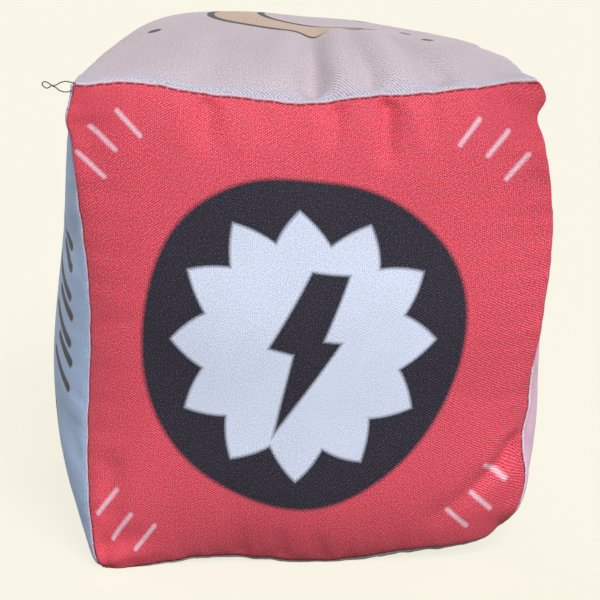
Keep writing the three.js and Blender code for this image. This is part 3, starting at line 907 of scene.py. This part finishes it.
def filling():
    """The fibre inside, crowned under each panel and grooved along each seam for the allowances."""
    lift = CLOTH_THICKNESS + FILLING_CLEARANCE
    rise, reach = edge_offset(ROLL_TURNS[0])
    inner_share = 1 - FILLING_INSET / HALF_SIDE
    steps = np.linspace(-1, 1, FILLING_CELLS + 1)
    u, v = np.meshgrid(steps, steps, indexing="ij")
    generator = np.random.default_rng(LUMP_SEED)
    points = []
    quads = []
    total = 0

    def add(grid):
        nonlocal total
        rows, columns = grid.shape[:2]
        found, _ = grid_faces(np.ones((rows - 1, columns - 1), bool))
        points.append(grid.reshape(-1, 3))
        quads.extend([corner + total for corner in quad] for quad in found)
        total += rows * columns

    for face in FACES.values():
        lumps = np.zeros_like(u)
        for _ in range(LUMP_WAVES):
            waves = generator.uniform(*LUMP_PACE, 2)
            phases = generator.uniform(0, 2 * math.pi, 2)
            lumps += np.sin(waves[0] * u * 2 + phases[0]) * np.sin(waves[1] * v * 2 + phases[1])
        edge_fade = np.clip((1 - np.maximum(np.abs(u), np.abs(v))) / LUMP_FADE_SHARE, 0, 1)
        sink = LUMP_HEIGHT * (lumps - lumps.max()) * edge_fade
        on_cloth = face_points(face, u * inner_share, v * inner_share, rise, reach, puckered=False)
        grid = on_cloth + face.out * (sink - lift)[..., None]
        add(stand_on(grid, lift))
        for direction, along, edge in (
            (-face.up, face.across, grid[:, 0]),
            (face.across, face.up, grid[-1, :]),
            (face.up, -face.across, grid[::-1, -1]),
            (-face.across, -face.up, grid[0, ::-1]),
        ):
            on_seam = seam_points(face, face_towards(direction), along, steps)
            shift = along * (steps * -FILLING_GROOVE)[:, None]
            groove = on_seam - (face.out + direction) * FILLING_GROOVE + shift
            shares = np.linspace(0, 1, FILLING_WALL_POINTS)[None, :, None]
            wall = groove[:, None] * (1 - shares) + edge[:, None] * shares
            add(stand_on(wall, lift))
    piece = new_piece("fibre_filling", np.concatenate(points), quads)
    weld = piece.modifiers.new("join the sides", "WELD")
    weld.merge_threshold = FILLING_WELD
    apply_modifiers(piece)
    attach(piece, "root")
    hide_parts("filling")
    return piece


class Value:
    """A number or colour inside a material, and the sums that lead on from it."""

    def __init__(self, paint, socket):
        self.paint = paint
        self.socket = socket

    def maths(self, operation, *others):
        return self.paint.maths(operation, self, *others)

    def __add__(self, other):
        return self.maths("ADD", other)

    def __sub__(self, other):
        return self.maths("SUBTRACT", other)

    def __rsub__(self, other):
        return self.paint.maths("SUBTRACT", other, self)

    def __mul__(self, other):
        return self.maths("MULTIPLY", other)

    def __truediv__(self, other):
        return self.maths("DIVIDE", other)

    def __abs__(self):
        return self.maths("ABSOLUTE")

    def least(self, other):
        return self.maths("MINIMUM", other)

    def most(self, other):
        return self.maths("MAXIMUM", other)

    def ramp(self, low, high, to_low=0.0, to_high=1.0):
        inputs = {"Value": self, "From Min": low, "From Max": high, "To Min": to_low, "To Max": to_high}
        return self.paint.out("ShaderNodeMapRange", inputs, clamp=True)


# How the nodes of a material are laid out, in rows
NODES_IN_ROW = 12
NODE_WIDTH = 180
NODE_HEIGHT = 170


class Paint:
    """Builds the nodes of one material or node group, left to right."""

    def __init__(self, tree):
        self.tree = tree
        self.column = 0

    def node(self, kind, inputs=(), **settings):
        node = self.tree.nodes.new(kind)
        self.column += 1
        row, place = divmod(self.column, NODES_IN_ROW)
        node.location = (NODE_WIDTH * place, -NODE_HEIGHT * row)
        for name, value in settings.items():
            setattr(node, name, value)
        for key, value in dict(inputs).items():
            self.feed(node.inputs[key], value)
        return node

    def out(self, kind, inputs=(), output=0, **settings):
        return Value(self, self.node(kind, inputs, **settings).outputs[output])

    def feed(self, socket, value):
        if isinstance(value, Value):
            self.tree.links.new(value.socket, socket)
        else:
            socket.default_value = value

    def maths(self, operation, *values):
        return self.out("ShaderNodeMath", enumerate(values), operation=operation)

    def mix(self, share, first, second, blend="MIX"):
        inputs = {"Factor": share, 6: first, 7: second}
        return self.out("ShaderNodeMix", inputs, 2, data_type="RGBA", blend_type=blend)

    def noise(self, vector, scale, detail=2.0):
        return self.out("ShaderNodeTexNoise", {"Vector": vector, "Scale": scale, "Detail": detail}, "Fac")

    def group(self, group, inputs):
        node = self.node("ShaderNodeGroup", inputs, node_tree=group)
        return {socket.name: Value(self, socket) for socket in node.outputs}


def srgb(red, green, blue):
    """A screen colour, 0 to 255, as the linear colour that a shader takes."""
    linear = []
    for value in (red, green, blue):
        share = value / 255
        linear.append(share / 12.92 if share <= 0.04045 else ((share + 0.055) / 1.055) ** 2.4)
    return (*linear, 1)


def shared_group(name, inputs, build):
    """A group of nodes for several materials, which takes numbers and puts out masks."""
    group = bpy.data.node_groups.new(name, "ShaderNodeTree")
    paint = Paint(group)
    for socket in inputs:
        group.interface.new_socket(name=socket, in_out="INPUT", socket_type="NodeSocketFloat")
    source = paint.node("NodeGroupInput")
    results = build(paint, *[Value(paint, source.outputs[socket]) for socket in inputs])
    for socket in results:
        group.interface.new_socket(name=socket, in_out="OUTPUT", socket_type="NodeSocketFloat")
    paint.node("NodeGroupOutput", results)
    return group


# The weave: the yarns' pitch in millimetres, then its lines, each with its steps across and up in a pitch
# and how strongly it shows where the cloth is strained least and most
YARN_PITCH = 0.52
TWILL_LINES = [
    ((-0.55, 0.85), (0.08, 0.3)),
    ((0.51, 0.82), (0.42, 0.08)),
    ((1.06, -0.03), (0.18, 0.18)),
]

# The noises behind it, each with its pace by millimetres: how many pitches the lines sway, and where the
# cloth is strained, with the strain's growth for each pitch across and up and its least and most
SWAY_PACE = 0.35
SWAY_PITCHES = 0.6
STRAIN_PACE = 0.035
STRAIN_ACROSS = -0.0004
STRAIN_UP = 0.0015
STRAIN_RANGE = (0.34, 0.62)

# How much the lines and the single yarns count in the colour, and the yarns and heights that give a fleck:
# bare yarn on a yarn's top, partly a painted highlight
YARN_PACE = 2.7
LINE_WEIGHT = 0.75
YARN_WEIGHT = 1.8
YARN_RANGE = (0.05, 0.95)
FLECK_YARNS = (0.58, 0.76)
FLECK_HEIGHTS = (0.5, 0.9)

# Near a corner the cloth is stretched, and its yarns show less: from this share at the first distance in
# millimetres to all of it at the second. Towards the lower right its falling lines take over, between these
# two measures of across less up.
CALM_SHARE = 0.45
CALM_REACH = (6, 24)
FALLING_REACH = (25, 50)


def twill_weave(paint, across, up):
    """Rising and falling twill lines crossed by upright yarns, on the flat cloth in millimetres."""
    position = paint.out("ShaderNodeCombineXYZ", {"X": across, "Y": up})
    gap_across, gap_up = (HALF_SIDE / MM - abs(value) for value in (across, up))
    from_corner = (gap_across * gap_across + gap_up * gap_up).maths("SQRT")
    calm = from_corner.ramp(*CALM_REACH, CALM_SHARE, 1)
    rising_share = (across - up).ramp(*FALLING_REACH, 1, 0)
    sway = (paint.noise(position, SWAY_PACE) - 0.5) * SWAY_PITCHES
    across = across / YARN_PITCH + sway
    up = up / YARN_PITCH + sway
    strain = up * STRAIN_UP + across * STRAIN_ACROSS
    strained = (paint.noise(position, STRAIN_PACE, 1.0) + strain).ramp(*STRAIN_RANGE) * rising_share
    relief = None
    for (steps_across, steps_up), shares in TWILL_LINES:
        turns = (across * steps_across + up * steps_up) * (2 * math.pi)
        line = turns.maths("SINE") * strained.ramp(0, 1, *shares)
        relief = line if relief is None else relief + line
    height = relief * calm + 0.5
    yarns = paint.noise(position, YARN_PACE, 1.0)
    yarn = (height - 0.5) * LINE_WEIGHT + 0.5 + (yarns - 0.5) * YARN_WEIGHT * calm
    # Flecks of bare yarn on the yarns' tops, partly painted highlights
    fleck = yarns.ramp(*FLECK_YARNS) * height.ramp(*FLECK_HEIGHTS)
    return {"Height": height, "Yarn": yarn.ramp(*YARN_RANGE), "Fleck": fleck}


# A printed colour's slow unevenness, then, in millimetres, how unevenly its edge runs, over what width it
# ends, how wide the band of another colour inside it is, and over what width the crease's painted shade
# starts.
# A stitch leaves a share of that painted shade where the wave of the stitches is low, the whole where it is
# above the range.
TONE_PACE = 0.05
TONE_RANGE = (0.25, 0.75)
EDGE_PACE = 0.8
EDGE_STRAY = 0.5
RIM_WIDTH = 0.3
BAND_WIDTH = 3.5
CREASE_WIDTH = 0.2
STITCH_RANGE = (-0.9, -0.5)
STITCH_SHARE = 0.15


def print_tone_and_crease_shade(paint, across, up, crease_start):
    """The slow unevenness of a print, its edge beside a seam, and the painted shade in the crease, with its
    stitches.
    """
    position = paint.out("ShaderNodeCombineXYZ", {"X": across, "Y": up})
    sides = abs(across), abs(up)
    reach = sides[0].most(sides[1])
    along = sides[0].least(sides[1])
    stitches = (along * (2 * math.pi * STITCH_COUNT / (STITCHED_LENGTH / MM))).maths("COSINE")
    between = stitches.ramp(*STITCH_RANGE, STITCH_SHARE, 1)
    past = reach - HALF_SIDE / MM + (paint.noise(position, EDGE_PACE) - 0.5) * EDGE_STRAY
    return {
        "Tone": paint.noise(position, TONE_PACE, 3.0).ramp(*TONE_RANGE),
        # The rim past the print's edge: a paler colour, partly a painted highlight on the rolled edge
        "Rim": past.ramp(0, RIM_WIDTH),
        "Band": past.ramp(-BAND_WIDTH, RIM_WIDTH),
        # Painted shade: the crease is darkened, less where a stitch crosses it
        "Crease": (reach - crease_start).ramp(0, CREASE_WIDTH) * between,
    }


BURST_SLANT = 0.75


class Print:
    """Draws the shapes of a print as distances in millimetres, below zero inside a shape."""

    def __init__(self, paint, across, up):
        self.paint = paint
        self.across = across
        self.up = up

    def at(self, x, y, turn=0.0):
        """The same print seen from a point, turned by an angle in degrees."""
        cos = math.cos(math.radians(turn))
        sin = math.sin(math.radians(turn))
        dx = self.across - x
        dy = self.up - y
        return Print(self.paint, dx * cos + dy * sin, dy * cos - dx * sin)

    def radius(self):
        return (self.across * self.across + self.up * self.up).maths("SQRT")

    def angle(self):
        return self.up.maths("ARCTAN2", self.across)

    def disc(self, radius):
        return self.radius() - radius

    def polygon(self, *corners):
        """A convex shape, its corners given anticlockwise."""
        distance = None
        for (x0, y0), (x1, y1) in zip(corners, corners[1:] + corners[:1]):
            length = math.hypot(x1 - x0, y1 - y0)
            nx = (y1 - y0) / length
            ny = (x0 - x1) / length
            side = self.across * nx + self.up * ny - (x0 * nx + y0 * ny)
            distance = side if distance is None else distance.most(side)
        return distance

    def dash(self, length, width):
        """A short stroke with round ends, along the print's across direction."""
        beyond = (abs(self.across) - length / 2).most(0)
        return (beyond * beyond + self.up * self.up).maths("SQRT") - width / 2

    def burst(self, points, outer, inner):
        """A star of many points, its distances lessened because its edges slant."""
        sector = math.pi / points
        folded = (self.angle() + math.pi).maths("PINGPONG", sector)
        return (self.radius() - folded.ramp(0, sector, outer, inner)) * BURST_SLANT

    def inked(self, colour, distance, ink, softness=0.35):
        """The colour with a shape in ink on it, which has the soft edge of a heat print."""
        return self.paint.mix(distance.ramp(softness / 2, -softness / 2), colour, ink)

    def outlined(self, colour, distance, width):
        """The colour with a dark line along the edge of a shape."""
        return self.inked(colour, abs(distance) - width / 2, INK_BLACK)


def all_of(shapes):
    """Several shapes as one."""
    whole, *others = shapes
    for shape in others:
        whole = whole.least(shape)
    return whole


# Light cloth shows its yarns less than dark cloth. Painted shade: a colour is made deeper between the yarns
# and in a crease, and darker in a crease.
DEEP_CONTRAST = 0.42
PALE_CONTRAST_POWER = -0.3
HOLLOW_SHADE_DEEPENING = 0.4
CREASE_SHADE_DEEPENING = 0.3
CREASE_SHADE = 0.4
TONE_SHADES = (0.94, 1.04)
BAND_SHARE = 0.6
FLECK_SHARE = 0.1
WEAVE_RELIEF = 0.05 * MM
WEAVE_STRENGTH = 0.5

INK_BLACK = srgb(39, 36, 50)
INK_WHITE = srgb(222, 232, 255)
INK_PINK = srgb(246, 196, 214)
INK_BEIGE = srgb(202, 176, 158)
BARE_YARN_AND_HIGHLIGHT = srgb(250, 240, 244)


def storm_print(sheet, cloth):
    """A dark disc with a pale burst and a bolt, and short strokes around it."""
    middle = sheet.at(-3, -1)
    bolt = middle.at(0, 0, -8)
    upper = bolt.polygon((-9, -2), (4, -2), (9, 20), (-1, 20))
    lower = bolt.polygon((-3, -24), (10, 3), (-2, 3))
    colour = sheet.inked(cloth, middle.disc(43), INK_BLACK, 1.3)
    colour = sheet.inked(colour, middle.burst(12, 35, 27), INK_WHITE, 1.1)
    colour = sheet.inked(colour, upper.least(lower), INK_BLACK, 1.0)
    strokes = []
    for x, y, turn in ((47, 45, 45), (47, -46, -45), (-50, 46, 135), (-50, -47, 225)):
        corner = sheet.at(x, y, turn)
        strokes += [corner.at(shift, offset).dash(8, 1.1) for shift, offset in ((0, -7), (2, 0), (0, 7))]
    return sheet.inked(colour, all_of(strokes), INK_PINK, 0.7)


def rain_print(sheet, cloth):
    """Falling drops in dark outline, with slanting streaks of rain beside the front seam."""
    streaks = (
        (44, 22, 15), (47, 16, 11), (43, 10, 18), (47, 4, 12), (44, -2, 17), (48, -8, 11), (45, -14, 15))
    lines = [sheet.at(x, y, -24).dash(length, 2.6) for x, y, length in streaks]
    colour = sheet.inked(cloth, all_of(lines), INK_BLACK, 0.7)
    drops = ((-22, 20, 1.5), (16, 30, 1.0), (20, -8, 1.7), (-16, -26, 1.1), (34, -38, 0.9), (-40, -6, 0.9))
    for x, y, size in drops:
        drop = sheet.at(x, y)
        tip = drop.polygon((-5.2 * size, 3 * size), (5.2 * size, 3 * size), (0, 13 * size))
        shape = drop.disc(6 * size).least(tip)
        colour = sheet.inked(colour, shape, INK_WHITE)
        colour = sheet.outlined(colour, shape, 1.6)
    return colour


def moon_print(sheet, cloth):
    """A crescent with dots around it."""
    moon = sheet.at(-2, 6)
    crescent = moon.disc(27).most(moon.at(12, 8).disc(23) * -1)
    colour = sheet.inked(cloth, crescent, INK_BEIGE)
    colour = sheet.outlined(colour, crescent, 2.4)
    dots = ((20, 24, 3), (34, 8, 2), (18, -22, 2.4), (38, -30, 1.8), (-36, 36, 2.2), (-42, -24, 2))
    for x, y, size in dots:
        colour = sheet.inked(colour, sheet.at(x, y).disc(size), INK_BLACK)
    return colour


def heart_print(sheet, cloth):
    """A pale heart with a dark outline and small dots."""
    heart = sheet.at(0, -2)
    point = heart.polygon((-25.5, -1), (0, -31), (25.5, -1), (0, 16))
    shape = all_of([heart.at(-12, 9).disc(17), heart.at(12, 9).disc(17), point])
    colour = sheet.inked(cloth, shape, INK_WHITE)
    colour = sheet.outlined(colour, shape, 2.6)
    for x, y in ((-34, 38), (34, 38), (-31, -36), (31, -36)):
        colour = sheet.inked(colour, sheet.at(x, y).disc(2.4), INK_BLACK)
    return colour


def sun_print(sheet, cloth):
    """A pale disc with a ring of pointed rays."""
    colour = sheet.inked(cloth, sheet.burst(14, 44, 30), INK_BLACK)
    return sheet.inked(colour, sheet.disc(25), INK_WHITE)


def spiral_print(sheet, cloth):
    """A dark spiral line."""
    pitch = 11
    start = sheet.angle() * (pitch / (2 * math.pi))
    arm = (sheet.radius() - start).maths("FLOORED_MODULO", pitch)
    line = abs(arm - pitch / 2) - 1.2
    return sheet.inked(cloth, line.most(sheet.disc(40)), INK_BLACK)


def new_material(name, finish):
    """A material with the fixed values of its shader, and what paints it."""
    material = bpy.data.materials.new(name)
    material.use_nodes = True
    shader = material.node_tree.nodes["Principled BSDF"]
    for socket, value in finish.items():
        shader.inputs[socket].default_value = value
    return material, shader, Paint(material.node_tree)


def paint_cloth(paint, shader, colour, height, depth, strength=1.0):
    """Feeds the colour and the relief of a material to its shader."""
    relief = {"Height": height, "Distance": depth, "Strength": strength}
    paint.feed(shader.inputs["Base Color"], colour)
    paint.feed(shader.inputs["Normal"], paint.out("ShaderNodeBump", relief))


def printed_twill(name, groups, base, draw, rim, band, crease_start):
    """Printed polyester twill: its weave, flecks of bare yarn that are partly painted highlights, its print,
    and painted shade between its yarns and in its creases.
    """
    finish = {"Roughness": 0.78, "Specular IOR Level": 0.3, "Sheen Weight": 0.12, "Sheen Roughness": 0.5}
    material, shader, paint = new_material(name, finish)
    uv = paint.out("ShaderNodeUVMap", uv_map="flat_cloth")
    split = paint.node("ShaderNodeSeparateXYZ", {"Vector": uv})
    across, up = ((Value(paint, split.outputs[axis]) - 0.5) * (CUBE_SIDE / MM) for axis in (0, 1))
    weave = paint.group(groups["weave"], {"Across": across, "Up": up})
    tone = paint.group(groups["tone"], {"Across": across, "Up": up, "Crease start": crease_start})
    colour = draw(Print(paint, across, up), srgb(*base))
    if band is not None:
        colour = paint.mix(tone["Band"] * BAND_SHARE, colour, srgb(*band))
    # The rim: a paler colour along the rolled edge, partly a painted highlight
    if rim is not None:
        colour = paint.mix(tone["Rim"], colour, srgb(*rim))
    paleness = paint.out("ShaderNodeSeparateColor", {"Color": colour}, "Green")
    contrast = paleness.maths("POWER", PALE_CONTRAST_POWER) * DEEP_CONTRAST
    yarn = (weave["Yarn"] - 0.5) * contrast + 1
    # Painted shade: the colour is deepened between the yarns and in the crease
    depth = (0.5 - weave["Yarn"]) * HOLLOW_SHADE_DEEPENING + 1 + tone["Crease"] * CREASE_SHADE_DEEPENING
    colour = paint.out("ShaderNodeGamma", {"Color": colour, "Gamma": depth})
    shade = tone["Tone"].ramp(0, 1, *TONE_SHADES)
    # Painted shade: the colour is darkened in the crease
    grey = shade * yarn * tone["Crease"].ramp(0, 1, 1, CREASE_SHADE)
    grey_colour = paint.out("ShaderNodeCombineColor", {"Red": grey, "Green": grey, "Blue": grey})
    colour = paint.mix(1.0, colour, grey_colour, "MULTIPLY")
    # Flecks of bare yarn, partly painted highlights on the yarns' tops
    colour = paint.mix(weave["Fleck"] * FLECK_SHARE, colour, BARE_YARN_AND_HIGHLIGHT)
    paint_cloth(paint, shader, colour, weave["Height"], WEAVE_RELIEF, WEAVE_STRENGTH)
    return material


# Thread and fill: the paces of their noises by metres, how dark the hollows of a thread are, the shares of
# the fill's clumps and strands, the range of a noise from hollow to crest, and how deep the relief is
THREAD_PACE = 9000
THREAD_SHADE = 0.86
THREAD_RANGE = (0.3, 0.7)
THREAD_RELIEF = 0.03 * MM
CLUMP_PACE = 120
CLUMP_SHARE = 0.7
STRAND_PACE = 2200
STRAND_SHARE = 0.3
FILL_RANGE = (0.35, 0.65)
FILL_COLOURS = (srgb(226, 222, 214), srgb(246, 244, 240))
FILL_RELIEF = 0.6 * MM


def spun_thread(name, base):
    """Spun polyester sewing thread."""
    material, shader, paint = new_material(name, {"Roughness": 0.6})
    fibre = paint.noise(paint.out("ShaderNodeTexCoord", (), "Object"), THREAD_PACE)
    hollow = srgb(*[value * THREAD_SHADE for value in base])
    colour = paint.mix(fibre.ramp(*THREAD_RANGE), hollow, srgb(*base))
    paint_cloth(paint, shader, colour, fibre, THREAD_RELIEF)
    return material


def fibre_fill():
    """Loose white polyester fibre."""
    material, shader, paint = new_material("fibre fill", {"Roughness": 1.0})
    position = paint.out("ShaderNodeTexCoord", (), "Object")
    clumps = paint.noise(position, CLUMP_PACE, 5.0) * CLUMP_SHARE
    mixed = clumps + paint.noise(position, STRAND_PACE, 3.0) * STRAND_SHARE
    colour = paint.mix(mixed.ramp(*FILL_RANGE), *FILL_COLOURS)
    paint_cloth(paint, shader, colour, mixed, FILL_RELIEF)
    return material


def finish_with(piece, material):
    piece.data.materials.clear()
    piece.data.materials.append(material)


# Each panel's slot and colour, its print, the colours of its rim, which is partly a painted highlight, and
# of a band inside it, where it has them, and how far from its middle the painted crease shade starts, in
# millimetres
PANEL_FINISHES = {
    "front": ("red_cloth", (228, 82, 101), storm_print, None, None, 59.8),
    "back": ("yellow_cloth", (236, 198, 92), sun_print, None, None, 60.2),
    "left": ("blue_cloth", (178, 203, 240), rain_print, (222, 206, 232), None, 60.6),
    "right": ("pink_cloth", (236, 190, 218), heart_print, (240, 222, 236), None, 60.5),
    "top": ("lilac_cloth", (203, 189, 198), moon_print, (222, 204, 216), (190, 190, 214), 61.0),
    "bottom": ("pale_cloth", (214, 200, 204), spiral_print, None, None, 60.4),
}
SEAM_THREAD = (206, 186, 200)
LOOSE_THREAD = (104, 102, 94)


def make_cube():
    groups = {
        "weave": shared_group("twill weave", ["Across", "Up"], twill_weave),
        "tone": shared_group("print tone and crease shade", ["Across", "Up", "Crease start"], print_tone_and_crease_shade),
    }
    settle_cover()
    for face in FACES.values():
        slot, *finish = PANEL_FINISHES[face.name]
        material = printed_twill(slot.replace("_", " "), groups, *finish)
        finish_with(sewn_panel(face), material)
    stitch_material = spun_thread("seam thread", SEAM_THREAD)
    for seed, (first, second) in enumerate(SEAM_SHARES):
        piece = seam_stitches(FACES[first], FACES[second], seed)
        finish_with(piece, stitch_material)
    finish_with(loose_thread(), spun_thread("loose thread", LOOSE_THREAD))
    finish_with(filling(), fibre_fill())


BACKDROP = srgb(249, 246, 231)
FLOOR = srgb(128, 126, 120)
FLOOR_SIZE = 16
FLOOR_GLOW = 1.025
FLOOR_GLOW_SHARE = 0.85
ROOM = srgb(255, 250, 252)
ROOM_STRENGTH = 0.14

# Plain lamps far away: the direction of each, its strength and how many degrees it is soft over
LAMPS = {
    "soft key": ((0.24, -0.72, 0.65), 3.0, 30),
    "left fill": ((-0.8, 0.6, 0.05), 1.8, 40),
    "right fill": ((0.7, 0.71, 0.04), 1.7, 40),
}


def soft_lamp(name, towards, strength, softness):
    lamp_data = bpy.data.lights.new(name, "SUN")
    lamp_data.energy = strength
    lamp_data.angle = math.radians(softness)
    lamp = in_scene(name, lamp_data)
    lamp.rotation_euler = Vector(towards).normalized().to_track_quat("Z", "Y").to_euler()


def empty_paint(owner):
    """What paints a material or world whose own nodes are taken away."""
    owner.use_nodes = True
    owner.node_tree.nodes.clear()
    return Paint(owner.node_tree)


def floor_and_light():
    """A plain pale floor that keeps a soft shadow, and plain soft light, most of it from above in front."""
    bpy.ops.object.select_all(action="DESELECT")
    bpy.ops.mesh.primitive_plane_add(size=FLOOR_SIZE, location=(0, 0, 0))
    floor = bpy.context.active_object
    floor.name = "studio_floor"
    material = bpy.data.materials.new("studio floor")
    paint = empty_paint(material)
    shown = paint.out("ShaderNodeLightPath", (), "Is Camera Ray")
    colour = paint.mix(shown, FLOOR, BACKDROP)
    diffuse = paint.out("ShaderNodeBsdfDiffuse", {"Color": colour})
    glow = paint.out("ShaderNodeEmission", {"Color": BACKDROP, "Strength": FLOOR_GLOW})
    mixed = paint.out("ShaderNodeMixShader", {0: shown * FLOOR_GLOW_SHARE, 1: diffuse, 2: glow})
    paint.node("ShaderNodeOutputMaterial", {"Surface": mixed})
    floor.data.materials.append(material)

    for name, lamp in LAMPS.items():
        soft_lamp(name, *lamp)

    world = bpy.data.worlds.new("studio")
    bpy.context.scene.world = world
    paint = empty_paint(world)
    path = paint.node("ShaderNodeLightPath")
    room = paint.out("ShaderNodeBackground", {"Color": ROOM, "Strength": ROOM_STRENGTH})
    backdrop = paint.out("ShaderNodeBackground", {"Color": BACKDROP, "Strength": 1.0})
    rays = [Value(paint, path.outputs[name]) for name in ("Is Camera Ray", "Is Glossy Ray")]
    mixed = paint.out("ShaderNodeMixShader", {0: rays[0].most(rays[1]), 1: room, 2: backdrop})
    paint.node("ShaderNodeOutputWorld", {"Surface": mixed})


def place_camera():
    """The camera as it stood for the photograph."""
    azimuth = math.radians(CAMERA_AZIMUTH)
    elevation = math.radians(CAMERA_ELEVATION)
    level = math.cos(elevation)
    back = Vector((math.sin(azimuth) * level, -math.cos(azimuth) * level, math.sin(elevation)))
    right = (-back).cross(Vector((0, 0, 1))).normalized()
    up = right.cross(-back)
    middle = Vector((0, 0, CENTRE_HEIGHT))
    place = middle + right * CAMERA_SHIFT_RIGHT + up * CAMERA_SHIFT_UP + back * CAMERA_DISTANCE
    roll = math.radians(CAMERA_ROLL)
    rolled_right = right * math.cos(roll) + up * math.sin(roll)
    rolled_up = up * math.cos(roll) - right * math.sin(roll)
    camera_data = bpy.data.cameras.new("photograph camera")
    camera_data.sensor_width = SENSOR_WIDTH
    camera_data.lens = SENSOR_WIDTH * FOCAL_LENGTH_PX / IMAGE_WIDTH_PX
    camera_data.clip_start = CAMERA_CLIP
    camera = in_scene("photograph camera", camera_data)
    turn = Matrix((rolled_right, rolled_up, back)).transposed()
    camera.matrix_world = Matrix.Translation(place) @ turn.to_4x4()
    bpy.context.scene.camera = camera


place_camera()
make_cube()
floor_and_light()
bpy.context.scene.view_settings.view_transform = "Standard"
